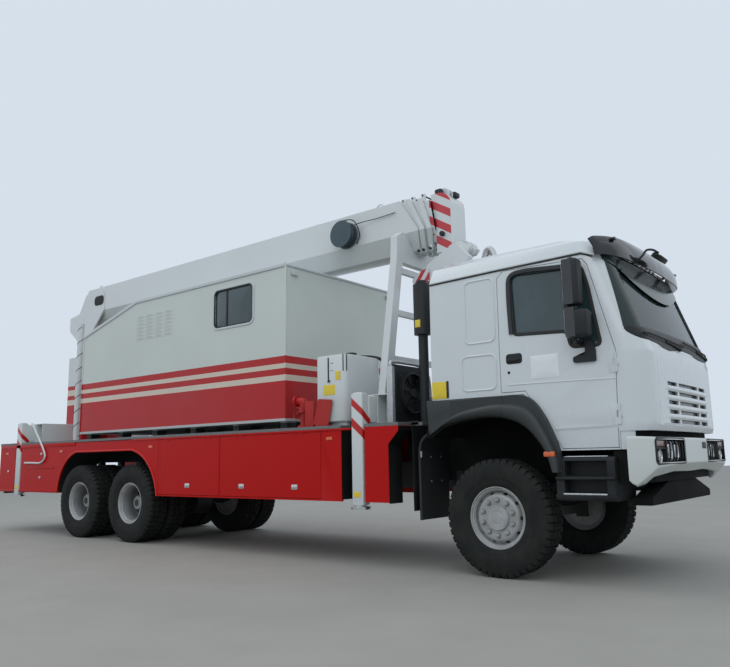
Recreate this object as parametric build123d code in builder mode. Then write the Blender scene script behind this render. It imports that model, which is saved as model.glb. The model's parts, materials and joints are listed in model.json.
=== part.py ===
from build123d import *

import os
from math import cos, radians

# Wireline truck with a telescopic crane. Millimetres, +X forward, +Y to the left, +Z up.
# The origin is at the centre of the overall length and width, on the ground.

# Overall
LENGTH = 11750
WIDTH = 2500
FRONT_X = LENGTH / 2
REAR_X = -LENGTH / 2
SIDE_Y = WIDTH / 2
GAP = 6
FIT = 0.3

# Wheels
TYRE_R = 562.5
TYRE_W = 313
RIM_R = 297
RIM_W = 260
RIM_WALL = 30
WHEEL_SIDES = 32
STEER_X = 4300
DRIVE_X = (-1750, -3150)
STEER_Y = 1020
TWIN_Y = (1090, 750)
SPINDLE_R = 50
HUB_R = 150
KINGPIN_Y = 930
KINGPIN_R = 25

# Chassis frame
RAIL_Y = 430
RAIL_Z = (800, 1100)
RAIL_X = (-5700, 5250)
RAIL_FLANGE = 90
RAIL_WALL = 12
TOW_BORE_R = 25

# Deck and skirts
DECK_Z = (1494, 1530)
DECK_FRONT = 3360
DECK_PLATE = 8
SKIRT_Z = 680
SKIRT_WALL = 30
SKIRT_FRONT = 2402
LIP = 10
LOCKER_DEPTH = 560
LOCKER_WALL = 15
DOOR_Z = (705, 1468)
LOCKER_DOORS = ((-1040, 285), (301, 2085))
ARCH_FOOT = (-3817, -1062)
ARCH_TOP = (-3258, -1716)
ARCH_Z = 1340

# Outriggers
HOUSING_X = (-5306, 2529)
HOUSING_W = 438
HOUSING_H = 343
HOUSING_Y = 1000
HOUSING_WALL = 12
SLIDE_GAP = 5
LEG_W = 160
LEG_D = 120
LEG_Z = (650, 1990)
RAM_R = 45
PAD_R = 110
PAD_Z = (600, 625)
BEAM_TAIL = 850
NOTCH_DEPTH = 240

# Cabin
CABIN_X = (-3331, 1421)
CABIN_Z = (1659, 3634)
CABIN_Y = 1150
CABIN_WALL = 50
ROOF_BREAK_X = -1852
ROOF_REAR_Z = 3245
CABIN_WINDOW_X = (40, 795)
CABIN_WINDOW_Z = (2970, 3470)
CABIN_DOOR_X = (-1020, -270)
CABIN_DOOR_Z = (1740, 3540)
GLASS = 8

# Hinges
HINGE_R = 9
HINGE_BARREL = 60
HINGE_LEAF = 42
DOOR_HINGE_X = 5561
DOOR_HINGE_Z = (1500, 1960)
CABIN_HINGE_Z = (1900, 2640, 3380)
LOCKER_HINGE_R = 4.4
PANEL_PIN = (5812, 2040)
PANEL_PIN_R = 6

# Cab
CAB_REAR = 3593
CAB_FLOOR = 1736
CAB_WALL = 50
CAB_BULGE = 25
TUNNEL_Y = 480
TUNNEL_Z = 1640
# Columns: height, front, rear, half width, front corner radius
CAB_SECTIONS = (
    (1190, 5760, CAB_REAR, 1130, 230),
    (1400, 5825, CAB_REAR, 1140, 250),
    (2060, 5825, CAB_REAR, 1140, 260),
    (2210, 5775, CAB_REAR, 1140, 250),
    (3010, 5500, CAB_REAR, 1125, 230),
    (3150, 5390, CAB_REAR + 30, 1085, 210),
    (3225, 5180, CAB_REAR + 120, 960, 200),
)
WHEEL_ARCH_X = 4640
NOSE_X = 5545
NOSE_Z = 1350
GRILLE_X = 5750
GRILLE_Y = 860
GRILLE_Z = (1410, 2110)
GRILLE_ROWS = 5
GRILLE_SLOTS_Z = (1460, 1860)
GRILLE_BAR = 34
GRILLE_SLOT = (GRILLE_SLOTS_Z[1] - GRILLE_SLOTS_Z[0] + GRILLE_BAR) / GRILLE_ROWS - GRILLE_BAR
STEP_X = (4990, 5460)

# Crane
PIVOT_X = -4900
PIVOT_Z = 3430
PIVOT_R = 60
LOBE_R = 140
COLUMN_X = (-5150, -4584)
COLUMN_Y = 400
COLUMN_TOP = 3530
COLUMN_NECK = 3130
BOOM_TOP = 4420
BOOM_SIDE_Z = 3970
BOOM_BOTTOM = 3750
BOOM_Y = 270
BOOM_KEEL_Y = 140
BOOM_WALL = 12
BOOM_GAP = 10
EAR_WALL = 30
EAR_Y = 288
LIFT_FOOT = (-4460, 1750)
LIFT_HEAD = (-4150, 3640)
BARREL_R = 75
ROD_R = 50
LIFT_EYE_R = 60
LIFT_PIN_R = 30


def span_box(x, y, z, mode=Mode.ADD):
    """Box between the low and high value of each of three spans."""
    with Locations(((x[0] + x[1]) / 2, (y[0] + y[1]) / 2, (z[0] + z[1]) / 2)):
        Box(x[1] - x[0], y[1] - y[0], z[1] - z[0], mode=mode)


def side_span(side, inner, outer):
    """Span across the truck from an inner to an outer distance, on one side."""
    return (min(side * inner, side * outer), max(side * inner, side * outer))


def rod_between(start, end, radius):
    """Straight round bar between two points."""
    line = Vector(*end) - Vector(*start)
    with BuildSketch(Plane(origin=start, z_dir=line)) as section:
        Circle(radius)
    extrude(section.sketch, amount=line.length)


def hinge(axis, place, middle, barrel, radius, leaf, moving):
    """One side of a hinge with three barrels: the middle one with the pin, or the outer two with its bore."""
    half = barrel / 2
    spans = ((middle - 3 * half, middle - half - 1), (middle + half + 1, middle + 3 * half))
    if not moving:
        spans = ((middle - half, middle + half),)
    for low, high in spans:
        if axis == "x":
            span_box((low, high), *leaf)
            spot, turn = ((low + high) / 2, *place), (0, 90, 0)
        else:
            span_box(*leaf, (low, high))
            spot, turn = (*place, (low + high) / 2), (0, 0, 0)
        with Locations(spot):
            Cylinder(radius, high - low, rotation=turn)
            if moving:
                Cylinder(radius / 2 + FIT, high - low + 2, rotation=turn, mode=Mode.SUBTRACT)
            else:
                Cylinder(radius / 2, 3 * barrel - 2, rotation=turn)


def save(part, name):
    """Label a finished piece and write it."""
    part.label = name
    export_step(part, f"parts/{name}.step")


os.makedirs("parts", exist_ok=True)

SIDES = (("right", -1), ("left", 1))

# Chassis frame: two channel rails, cross members, cab mounts, rear bar and tow block
CROSS_X = (-5580, -4350, -2450, -600, 1300, 3100, 5200)
CROSS_L = 100
RIB_X = (-5600, -4500, -3900, -2700, -900, 200, 1300, 2250, 3100)
RIB_L = 100
CAB_POST_X = (3640, 3740)
FRONT_MOUNT_X = (5360, 5460)
REAR_BAR_X = (REAR_X, -5800 - FIT)
REAR_BAR_Z = (640, 780)
TOW_X = (-5790, -5630 - FIT)
TOW_PIN_X = -5740
TOW_Z = (900, 1000)
with BuildPart() as frame:
    with BuildSketch(Plane.YZ.offset(RAIL_X[0])) as rail_profile:
        rail_h = RAIL_Z[1] - RAIL_Z[0]
        for _, side in SIDES:
            with Locations((side * (RAIL_Y - RAIL_FLANGE / 2), (RAIL_Z[0] + RAIL_Z[1]) / 2)):
                Rectangle(RAIL_FLANGE, rail_h)
            with Locations((side * (RAIL_Y - RAIL_WALL - RAIL_FLANGE / 2), (RAIL_Z[0] + RAIL_Z[1]) / 2)):
                Rectangle(RAIL_FLANGE, rail_h - 2 * RAIL_WALL, mode=Mode.SUBTRACT)
    extrude(amount=RAIL_X[1] - RAIL_X[0])
    for cross in CROSS_X:
        span_box(
            (cross - CROSS_L / 2, cross + CROSS_L / 2),
            (-RAIL_Y + RAIL_WALL + FIT, RAIL_Y - RAIL_WALL - FIT),
            (RAIL_Z[0] + RAIL_WALL + FIT, RAIL_Z[1] - RAIL_WALL - FIT),
        )
    for _, side in SIDES:
        flange = side_span(side, RAIL_Y - RAIL_FLANGE, RAIL_Y)
        bracket = side_span(side, RAIL_Y + FIT, 610)
        span_box((RAIL_X[1] + FIT, FRONT_MOUNT_X[1]), flange, (950, 1100))
        span_box(FRONT_MOUNT_X, bracket, (1050, 1190 - FIT))
        span_box(CAB_POST_X, flange, (RAIL_Z[1] + FIT, 1640 - FIT))
        span_box((-5800, -5650), side_span(side, RAIL_Y + FIT, RAIL_Y + 70), (REAR_BAR_Z[0], 1000))
        for rib in RIB_X:
            span_box((rib - RIB_L / 2, rib + RIB_L / 2), flange, (RAIL_Z[1] + FIT, DECK_Z[0]))
    span_box(CAB_POST_X, (-RAIL_Y, RAIL_Y), (1640, CAB_FLOOR - FIT))
    span_box(REAR_BAR_X, (-1150, 1150), REAR_BAR_Z)
    span_box(TOW_X, (-90, 90), TOW_Z)
    with Locations((TOW_PIN_X, 0, (TOW_Z[0] + TOW_Z[1]) / 2)):
        Cylinder(TOW_BORE_R, 2 * (TOW_Z[1] - TOW_Z[0]), mode=Mode.SUBTRACT)
save(frame.part, "frame")

# Deck plate, notched for the outrigger legs, with two longitudinal sills under it
CHANNEL_W = (HOUSING_W - 3 * HOUSING_WALL) / 2
BEAM_W = CHANNEL_W - 2 * SLIDE_GAP
HOUSING_Z = (DECK_Z[1], DECK_Z[1] + HOUSING_H)
BEAM_Z = (HOUSING_Z[0] + HOUSING_WALL + FIT, HOUSING_Z[1] - HOUSING_WALL - SLIDE_GAP)


def beam_x(end, side):
    """Middle of one outrigger's beam: the right one lies behind the left one."""
    lane = 0 if side < 0 else 1
    return HOUSING_X[end] + HOUSING_WALL + CHANNEL_W / 2 + lane * (CHANNEL_W + HOUSING_WALL)


# Columns: name, housing, side
OUTRIGGERS = (
    ("rear_right", 0, -1),
    ("rear_left", 0, 1),
    ("front_right", 1, -1),
    ("front_left", 1, 1),
)
NOTCH_CLEAR = 30


def notch_x(end, side):
    """Span left open along the deck's edge for one outrigger leg."""
    middle = beam_x(end, side)
    rear = middle - LEG_W / 2 - NOTCH_CLEAR
    if end == 1 and side < 0:
        rear = SKIRT_FRONT
    return (rear, middle + LEG_W / 2 + NOTCH_CLEAR)


DECK_CORNER = (3214, 1000)
EDGE_Y = SIDE_Y - NOTCH_DEPTH
with BuildPart() as deck:
    span_box((REAR_X, DECK_CORNER[0]), (-EDGE_Y, EDGE_Y), DECK_Z)
    span_box((DECK_CORNER[0] + FIT, DECK_FRONT), (-DECK_CORNER[1], DECK_CORNER[1]), DECK_Z)
    span_box(
        (REAR_X + 60, DECK_CORNER[0] - 60), (60 - EDGE_Y, EDGE_Y - 60), (DECK_Z[0] - 1, DECK_Z[1] - DECK_PLATE),
        Mode.SUBTRACT,
    )
    for rib in RIB_X:
        span_box((rib - RIB_L / 2, rib + RIB_L / 2), (-EDGE_Y, EDGE_Y), DECK_Z)
    for _, side in SIDES:
        gaps = [notch_x(end, side) for end in range(len(HOUSING_X))]
        starts = [REAR_X] + [front for _, front in gaps]
        ends = [rear for rear, _ in gaps] + [DECK_CORNER[0]]
        for rear, front in zip(starts, ends):
            span_box((rear, front), side_span(side, EDGE_Y + FIT, SIDE_Y), DECK_Z)
save(deck.part, "deck")

LOCKER_HINGE = (SIDE_Y - LIP + LOCKER_HINGE_R + 0.5, DOOR_Z[1] + GAP / 2)


def locker_hinges(doors=LOCKER_DOORS):
    """Middles of the hinges along the top edges of some locker doors."""
    return [door[0] + share * (door[1] - door[0]) for door in doors for share in (0.2, 0.8)]


# Skirts with their wheel arches, hollow lockers and the boxes ahead of the outrigger legs
for word, side in SIDES:
    with BuildPart() as skirt:
        with BuildSketch(Plane.XZ.offset(-side * (SIDE_Y - LIP))) as panel:
            with BuildLine():
                Polyline(
                    (REAR_X, SKIRT_Z),
                    (REAR_X, DECK_Z[0]),
                    (SKIRT_FRONT, DECK_Z[0]),
                    (SKIRT_FRONT, SKIRT_Z),
                    (ARCH_FOOT[1], SKIRT_Z),
                )
                RadiusArc((ARCH_FOOT[1], SKIRT_Z), (ARCH_TOP[1], ARCH_Z), -760)
                Line((ARCH_TOP[1], ARCH_Z), (ARCH_TOP[0], ARCH_Z))
                RadiusArc((ARCH_TOP[0], ARCH_Z), (ARCH_FOOT[0], SKIRT_Z), -700)
                Line((ARCH_FOOT[0], SKIRT_Z), (REAR_X, SKIRT_Z))
            make_face()
        extrude(amount=side * SKIRT_WALL)
        for door in LOCKER_DOORS:
            span_box(
                (door[0] - GAP, door[1] + GAP),
                side_span(side, SIDE_Y - LIP - SKIRT_WALL - 10, SIDE_Y + 10),
                (DOOR_Z[0] - GAP, DOOR_Z[1] + GAP),
                Mode.SUBTRACT,
            )
        span_box(
            notch_x(0, side), side_span(side, SIDE_Y - 100, SIDE_Y + 10), (SKIRT_Z, DECK_Z[0]), Mode.SUBTRACT
        )
        # Locker shell behind the two doors
        locker_y = side_span(side, SIDE_Y - LIP - SKIRT_WALL - LOCKER_DEPTH, SIDE_Y - LIP - SKIRT_WALL)
        locker_x = (LOCKER_DOORS[0][0] - 20, LOCKER_DOORS[1][1] + 20)
        locker_z = (DOOR_Z[0] - 20, DOOR_Z[1] + 20)
        back = side_span(
            side,
            SIDE_Y - LIP - SKIRT_WALL - LOCKER_DEPTH,
            SIDE_Y - LIP - SKIRT_WALL - LOCKER_DEPTH + LOCKER_WALL,
        )
        divider = (LOCKER_DOORS[0][1] + LOCKER_DOORS[1][0]) / 2
        span_box(locker_x, back, locker_z)
        span_box(locker_x, locker_y, (locker_z[0], locker_z[0] + LOCKER_WALL))
        span_box(locker_x, locker_y, (locker_z[1] - LOCKER_WALL, locker_z[1]))
        for plate in (locker_x[0] + LOCKER_WALL / 2, locker_x[1] - LOCKER_WALL / 2):
            span_box((plate - LOCKER_WALL / 2, plate + LOCKER_WALL / 2), locker_y, locker_z)
        span_box(
            (divider - LOCKER_WALL / 2, divider + LOCKER_WALL / 2),
            side_span(side, SIDE_Y - LIP - SKIRT_WALL - LOCKER_DEPTH, SIDE_Y - LIP - SKIRT_WALL - GAP),
            locker_z,
        )
        for middle in locker_hinges():
            hinge("x", (side * LOCKER_HINGE[0], LOCKER_HINGE[1]), middle, HINGE_BARREL, LOCKER_HINGE_R,
                  (side_span(side, SIDE_Y - LIP - 1, LOCKER_HINGE[0]), (LOCKER_HINGE[1], DECK_Z[0] - FIT)), False)
        # Box ahead of the front leg, its top flared forward
        box_rear = notch_x(1, side)[1]
        with BuildSketch(Plane.XZ.offset(-side * SIDE_Y)) as front_box:
            Polygon(
                (box_rear, SKIRT_Z),
                (3077, SKIRT_Z),
                (3077, 1300),
                (3214, 1440),
                (3214, DECK_Z[0]),
                (box_rear, DECK_Z[0]),
                align=None,
            )
        extrude(amount=side * 240)
    save(skirt.part, f"skirt_{word}")

# Axles: forged front beam with its springs, two driven axles with their spring packs
AXLE_TUBE_R = 75
SPRING_Y = (445, 535)
AXLE_EYE_R = 62
BEAM_SECTION = (-55, 55)
with BuildPart() as axles:
    span_box((STEER_X - 60, STEER_X + 60), (-840, 840), (TYRE_R - 70, TYRE_R + 30))
    for _, side in SIDES:
        with Locations((STEER_X, side * KINGPIN_Y, TYRE_R)):
            Cylinder(AXLE_EYE_R, 140)
        span_box((STEER_X - 45, STEER_X + 45), side_span(side, 800, KINGPIN_Y - 20), (TYRE_R - 70, TYRE_R + 30))
        with Locations((STEER_X, side * KINGPIN_Y, TYRE_R)):
            Cylinder(KINGPIN_R + FIT, 200, mode=Mode.SUBTRACT)
    for axle in DRIVE_X:
        with Locations((axle, 0, TYRE_R)):
            Cylinder(AXLE_TUBE_R, 2 * 640, rotation=(90, 0, 0))
            Cylinder(SPINDLE_R, 2 * 1100, rotation=(90, 0, 0))
            Cylinder(230, 300, rotation=(90, 0, 0))
    # Spring packs: deep in the middle, thin at their ends
    for _, side in SIDES:
        with BuildSketch(Plane.XZ.offset(-side * SPRING_Y[0])) as front_spring:
            Polygon(
                (STEER_X - 780, 800), (STEER_X - 780, 760), (STEER_X - 90, TYRE_R + 30),
                (STEER_X + 90, TYRE_R + 30), (STEER_X + 780, 760), (STEER_X + 780, 800),
                (STEER_X + 90, TYRE_R + 110), (STEER_X - 90, TYRE_R + 110),
                align=None,
            )
        extrude(amount=-side * (SPRING_Y[1] - SPRING_Y[0]))
        with BuildSketch(Plane.XZ.offset(-side * SPRING_Y[0])) as rear_spring:
            rear, front = DRIVE_X[1], DRIVE_X[0]
            Polygon(
                (rear - 60, TYRE_R - 90), (rear - 60, TYRE_R + 110), (rear + 400, 780),
                (front - 400, 780), (front + 60, TYRE_R + 110), (front + 60, TYRE_R - 90),
                (front - 60, TYRE_R - 90), (front - 60, TYRE_R + 60), (front - 420, 640),
                (rear + 420, 640), (rear + 60, TYRE_R + 60), (rear + 60, TYRE_R - 90),
                align=None,
            )
        extrude(amount=-side * (SPRING_Y[1] - SPRING_Y[0]))
        middle = (DRIVE_X[0] + DRIVE_X[1]) / 2
        span_box((middle - 120, middle + 120), side_span(side, RAIL_Y + FIT, SPRING_Y[1]), (780, 1000))
        span_box((STEER_X - 820, STEER_X - 740), side_span(side, RAIL_Y + FIT, SPRING_Y[1]), (800, 1000))
        span_box((STEER_X + 740, STEER_X + 820), side_span(side, RAIL_Y + FIT, SPRING_Y[1]), (800, 1000))
save(axles.part, "axles")

# Steering knuckles: two ears on the kingpin, a link plate clear of the axle's eye, the spindle
EAR_Z = ((TYRE_R - 130, TYRE_R - 75), (TYRE_R + 75, TYRE_R + 130))
LINK_Y = KINGPIN_Y + AXLE_EYE_R + 8
SPINDLE_END = STEER_Y + 110
for word, side in SIDES:
    with BuildPart() as knuckle:
        for ear in EAR_Z:
            span_box((STEER_X - 60, STEER_X + 60), side_span(side, KINGPIN_Y - 60, LINK_Y + 25), ear)
        span_box(
            (STEER_X - 60, STEER_X + 60), side_span(side, LINK_Y, LINK_Y + 25), (EAR_Z[0][0], EAR_Z[1][1])
        )
        with Locations((STEER_X, side * KINGPIN_Y, TYRE_R)):
            Cylinder(KINGPIN_R, EAR_Z[1][1] - EAR_Z[0][0])
        with Locations((STEER_X, side * (LINK_Y + SPINDLE_END) / 2, TYRE_R)):
            Cylinder(SPINDLE_R, SPINDLE_END - LINK_Y, rotation=(90, 0, 0))
    save(knuckle.part, f"knuckle_{word}")

# Tyres, lofted straight-sided between rings about the wheel's axis
# Columns: distance from the tyre's middle as a share of half its width, radius
TYRE_RINGS = (
    (-0.82, None),
    (-1.0, 430),
    (-0.9, 538),
    (-0.72, TYRE_R),
    (0.72, TYRE_R),
    (0.9, 538),
    (1.0, 430),
    (0.82, None),
)
BEAD_R = RIM_R + FIT


def wheel_ring(x, y, radius, outward):
    """Many-sided ring about a wheel's axis, facing along it."""
    with BuildSketch(Plane(origin=(x, y, TYRE_R), x_dir=(1, 0, 0), z_dir=(0, outward, 0))) as ring:
        RegularPolygon(radius, WHEEL_SIDES, major_radius=False, rotation=180 / WHEEL_SIDES)
    return ring.sketch.face()


def tyre_solid(x, y):
    """One tyre, its bore fitting the rim's seat."""
    rings = [wheel_ring(x, y + share * TYRE_W / 2, radius or BEAD_R, 1) for share, radius in TYRE_RINGS]
    loft(rings, ruled=True)


# Columns: name, axle position, side, distances of the tyres' middles from the centre
WHEELS = [(f"front_{word}", STEER_X, side, (STEER_Y,)) for word, side in SIDES]
WHEELS += [(f"middle_{word}", DRIVE_X[0], side, TWIN_Y) for word, side in SIDES]
WHEELS += [(f"rear_{word}", DRIVE_X[1], side, TWIN_Y) for word, side in SIDES]

for name, x, side, places in WHEELS:
    with BuildPart() as tyre:
        for place in places:
            tyre_solid(x, side * place)
        bore = wheel_ring(x, side * (min(places) - TYRE_W), BEAD_R, side)
        extrude(bore, amount=max(places) - min(places) + 2 * TYRE_W, mode=Mode.SUBTRACT)
    save(tyre.part, f"tyre_{name}")


def ring_bar(x, side, span, radius, mode=Mode.ADD):
    """Many-sided disc between two distances from the truck's middle."""
    extrude(wheel_ring(x, side * span[0], radius, side), amount=span[1] - span[0], mode=mode)


def dish(x, side, start, end, mode=Mode.SUBTRACT):
    """Tapered hollow between a wide mouth and a narrower floor, each a distance and a radius."""
    rings = [wheel_ring(x, side * place, radius, side) for place, radius in (start, end)]
    loft(rings, ruled=True, mode=mode)


DISH_MOUTH = RIM_R - 22
DISH_FLOOR = RIM_R - 62
DISC_WALL = 40
for name, x, side, places in WHEELS:
    twin = len(places) > 1
    rim_in = min(places) - RIM_W / 2
    rim_out = max(places) + RIM_W / 2
    disc_out = (places[0] + places[-1]) / 2 + DISC_WALL / 2 if twin else rim_out - 45
    disc_in = disc_out - DISC_WALL
    with BuildPart() as rim:
        ring_bar(x, side, (rim_in, rim_out), RIM_R)
        dish(x, side, (rim_out, DISH_MOUTH), (disc_out, DISH_FLOOR))
        dish(x, side, (rim_in, DISH_MOUTH), (disc_in, DISH_FLOOR))
        ring_bar(x, side, (LINK_Y + 35 if not twin else 660, disc_out + (30 if not twin else 60)), HUB_R)
        ring_bar(x, side, (disc_out, rim_out + (0 if not twin else -30)), HUB_R * 0.62)
        with Locations((x, side * (SPINDLE_END if not twin else 1100) / 2, TYRE_R)):
            Cylinder(
                SPINDLE_R + FIT, (SPINDLE_END if not twin else 1100) + 2 * FIT,
                rotation=(90, 0, 0), mode=Mode.SUBTRACT,
            )
    save(rim.part, f"rim_{name}")

# Engine and gearbox, one plain block
with BuildPart() as engine:
    span_box((3900, 5120), (-310, 310), (720, 1560))
    span_box((3200, 3900), (-200, 200), (740, 1120))
    for x in (4100, 5050):
        span_box((x - 40, x + 40), (-(RAIL_Y - RAIL_WALL - FIT), RAIL_Y - RAIL_WALL - FIT), (900, 960))
save(engine.part, "engine")

# Outrigger housings: on each, two side-by-side channels, one beam to each side
with BuildPart() as housings:
    for rear in HOUSING_X:
        span_box((rear, rear + HOUSING_W), (-HOUSING_Y, HOUSING_Y), HOUSING_Z)
        for lane in (0, 1):
            start = rear + HOUSING_WALL + lane * (CHANNEL_W + HOUSING_WALL)
            span_box(
                (start, start + CHANNEL_W),
                (-HOUSING_Y, HOUSING_Y),
                (HOUSING_Z[0] + HOUSING_WALL, HOUSING_Z[1] - HOUSING_WALL),
                Mode.SUBTRACT,
            )
save(housings.part, "outrigger_housings")

# Outrigger beams with their legs, and the jack rams with their pads
for name, end, side in OUTRIGGERS:
    middle = beam_x(end, side)
    leg_in = SIDE_Y - LEG_D
    leg_y = side * (SIDE_Y - LEG_D / 2)
    with BuildPart() as beam:
        span_box((middle - BEAM_W / 2, middle + BEAM_W / 2), side_span(side, -BEAM_TAIL, leg_in), BEAM_Z)
        span_box(
            (middle - BEAM_W / 2 + HOUSING_WALL, middle + BEAM_W / 2 - HOUSING_WALL),
            side_span(side, -BEAM_TAIL - 10, leg_in - HOUSING_WALL),
            (BEAM_Z[0] + HOUSING_WALL, BEAM_Z[1] - HOUSING_WALL),
            Mode.SUBTRACT,
        )
        span_box((middle - LEG_W / 2, middle + LEG_W / 2), side_span(side, leg_in, SIDE_Y), LEG_Z)
        with Locations((middle, leg_y, (LEG_Z[0] + LEG_Z[1] - 40) / 2 - 20)):
            Cylinder(RAM_R + FIT, LEG_Z[1] - LEG_Z[0] - 40, mode=Mode.SUBTRACT)
    save(beam.part, f"outrigger_{name}")
    with BuildPart() as jack:
        with Locations((middle, leg_y, (PAD_Z[1] + LEG_Z[1] - 100) / 2)):
            Cylinder(RAM_R, LEG_Z[1] - 100 - PAD_Z[1])
        with Locations((middle, leg_y, (PAD_Z[0] + PAD_Z[1]) / 2)):
            Cylinder(PAD_R, PAD_Z[1] - PAD_Z[0])
    save(jack.part, f"jack_{name}")

# Cabin: two side walls, two end walls, a roof that drops at the rear, a floor on pads, an entry door
CABIN_INSIDE_Y = CABIN_Y - CABIN_WALL


def cabin_outline(inset):
    """Side outline of the cabin, drawn in from its floor and roof by one distance."""
    rear, front = CABIN_X
    slope = (CABIN_Z[1] - ROOF_REAR_Z) / (ROOF_BREAK_X - rear)
    with BuildSketch(Plane.XZ.offset(-CABIN_Y)) as outline:
        Polygon(
            (rear, CABIN_Z[0]),
            (front, CABIN_Z[0]),
            (front, CABIN_Z[1] - inset),
            (ROOF_BREAK_X, CABIN_Z[1] - inset),
            (rear, CABIN_Z[1] - inset - slope * (ROOF_BREAK_X - rear)),
            align=None,
        )
    return outline.sketch


CABIN_BLOCK_W = 2 * CABIN_Y
CABIN_HINGE = (CABIN_DOOR_X[1] + GAP / 2, CABIN_Y + HINGE_R + 0.5)
with BuildPart() as cabin_sides:
    extrude(cabin_outline(CABIN_WALL), amount=CABIN_BLOCK_W)
    extrude(cabin_outline(-2 * CABIN_WALL), amount=CABIN_BLOCK_W, mode=Mode.INTERSECT)
    span_box(
        (CABIN_X[0] - 10, CABIN_X[1] + 10), (-CABIN_INSIDE_Y, CABIN_INSIDE_Y), (1600, 3700), Mode.SUBTRACT
    )
    span_box(CABIN_WINDOW_X, (-CABIN_Y - 10, CABIN_Y + 10), CABIN_WINDOW_Z, Mode.SUBTRACT)
    span_box(
        (CABIN_DOOR_X[0] - GAP, CABIN_DOOR_X[1] + GAP),
        (0, CABIN_Y + 10),
        (CABIN_DOOR_Z[0] - GAP, CABIN_DOOR_Z[1] + GAP),
        Mode.SUBTRACT,
    )
    for middle in CABIN_HINGE_Z:
        hinge("z", CABIN_HINGE, middle, HINGE_BARREL, HINGE_R,
              ((CABIN_HINGE[0], CABIN_HINGE[0] + HINGE_LEAF), (CABIN_Y - 1, CABIN_Y + 5)), False)
save(cabin_sides.part, "cabin_sides")

REAR_WINDOW_Y = 650
REAR_WINDOW_Z = (2350, 3050)
with BuildPart() as cabin_ends:
    extrude(cabin_outline(CABIN_WALL), amount=CABIN_BLOCK_W)
    for _, side in SIDES:
        span_box(
            (CABIN_X[0] - 10, CABIN_X[1] + 10), side_span(side, CABIN_INSIDE_Y, CABIN_Y + 10), (1600, 3700), Mode.SUBTRACT
        )
    span_box(
        (CABIN_X[0] + CABIN_WALL, CABIN_X[1] - CABIN_WALL), (-CABIN_Y, CABIN_Y), (1600, 3700), Mode.SUBTRACT
    )
    span_box((CABIN_X[0] - 10, 0), (-REAR_WINDOW_Y, REAR_WINDOW_Y), REAR_WINDOW_Z, Mode.SUBTRACT)
save(cabin_ends.part, "cabin_ends")

with BuildPart() as cabin_roof:
    extrude(cabin_outline(0), amount=CABIN_BLOCK_W)
    extrude(cabin_outline(CABIN_WALL), amount=CABIN_BLOCK_W, mode=Mode.SUBTRACT)
save(cabin_roof.part, "cabin_roof")

CABIN_TRIM_Z = (1623, 1659)
PAD_X = (-3200, -2300, -1400, -500, 400, 1300)
with BuildPart() as cabin_floor:
    span_box(
        (CABIN_X[0] + CABIN_WALL, CABIN_X[1] - CABIN_WALL),
        (-CABIN_INSIDE_Y, CABIN_INSIDE_Y),
        (CABIN_Z[0], CABIN_Z[0] + CABIN_WALL),
    )
    span_box((CABIN_X[0] - 5, CABIN_X[1] + 5), (-CABIN_Y - 5, CABIN_Y + 5), CABIN_TRIM_Z)
    for x in PAD_X:
        for _, side in SIDES:
            span_box((x - 60, x + 60), side_span(side, 900, 1060), (DECK_Z[1], CABIN_TRIM_Z[0]))
save(cabin_floor.part, "cabin_floor")

DOOR_PANE_X = (CABIN_DOOR_X[0] + 150, CABIN_DOOR_X[1] - 150)
DOOR_PANE_Z = (2800, 3350)
with BuildPart() as cabin_door:
    span_box(CABIN_DOOR_X, (CABIN_INSIDE_Y, CABIN_Y), CABIN_DOOR_Z)
    span_box(DOOR_PANE_X, (CABIN_INSIDE_Y - 10, CABIN_Y + 10), DOOR_PANE_Z, Mode.SUBTRACT)
    span_box(DOOR_PANE_X, (CABIN_INSIDE_Y + 20, CABIN_INSIDE_Y + 20 + GLASS), DOOR_PANE_Z)
    for middle in CABIN_HINGE_Z:
        hinge("z", CABIN_HINGE, middle, HINGE_BARREL, HINGE_R,
              ((CABIN_HINGE[0] - HINGE_LEAF, CABIN_HINGE[0]), (CABIN_Y - 1, CABIN_Y + 5)), True)
save(cabin_door.part, "cabin_door")

# Cab: lofted wall, cut into the shell and its two doors
SILL_Z = CAB_SECTIONS[0][0]


def cab_outline(section, inset):
    """Plan outline of the cab at one height, rounded at its front corners, drawn in by one distance."""
    height, front, rear, half, corner = section
    front, rear, half, corner = front - inset, rear + inset, half - inset, corner - inset * 0.6
    middle = corner * (1 - cos(radians(45)))
    with BuildSketch(Plane.XY.offset(height)) as outline:
        with BuildLine():
            Line((rear, half), (rear, -half))
            Line((rear, -half), (front - corner, -half))
            ThreePointArc(
                (front - corner, -half), (front - middle, middle - half), (front, corner - half)
            )
            ThreePointArc((front, corner - half), (front + CAB_BULGE, 0), (front, half - corner))
            ThreePointArc(
                (front, half - corner), (front - middle, half - middle), (front - corner, half)
            )
            Line((front - corner, half), (rear, half))
        make_face()
    return outline.sketch.face()


def cab_block(inset):
    """The cab's volume drawn in by one distance."""
    bottom, top = CAB_SECTIONS[0], CAB_SECTIONS[-1]
    sections = [(bottom[0] + inset, *bottom[1:])]
    sections += list(CAB_SECTIONS[1:-1])
    sections += [(top[0] - inset, *top[1:])]
    loft([cab_outline(section, inset) for section in sections], ruled=True)


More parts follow.
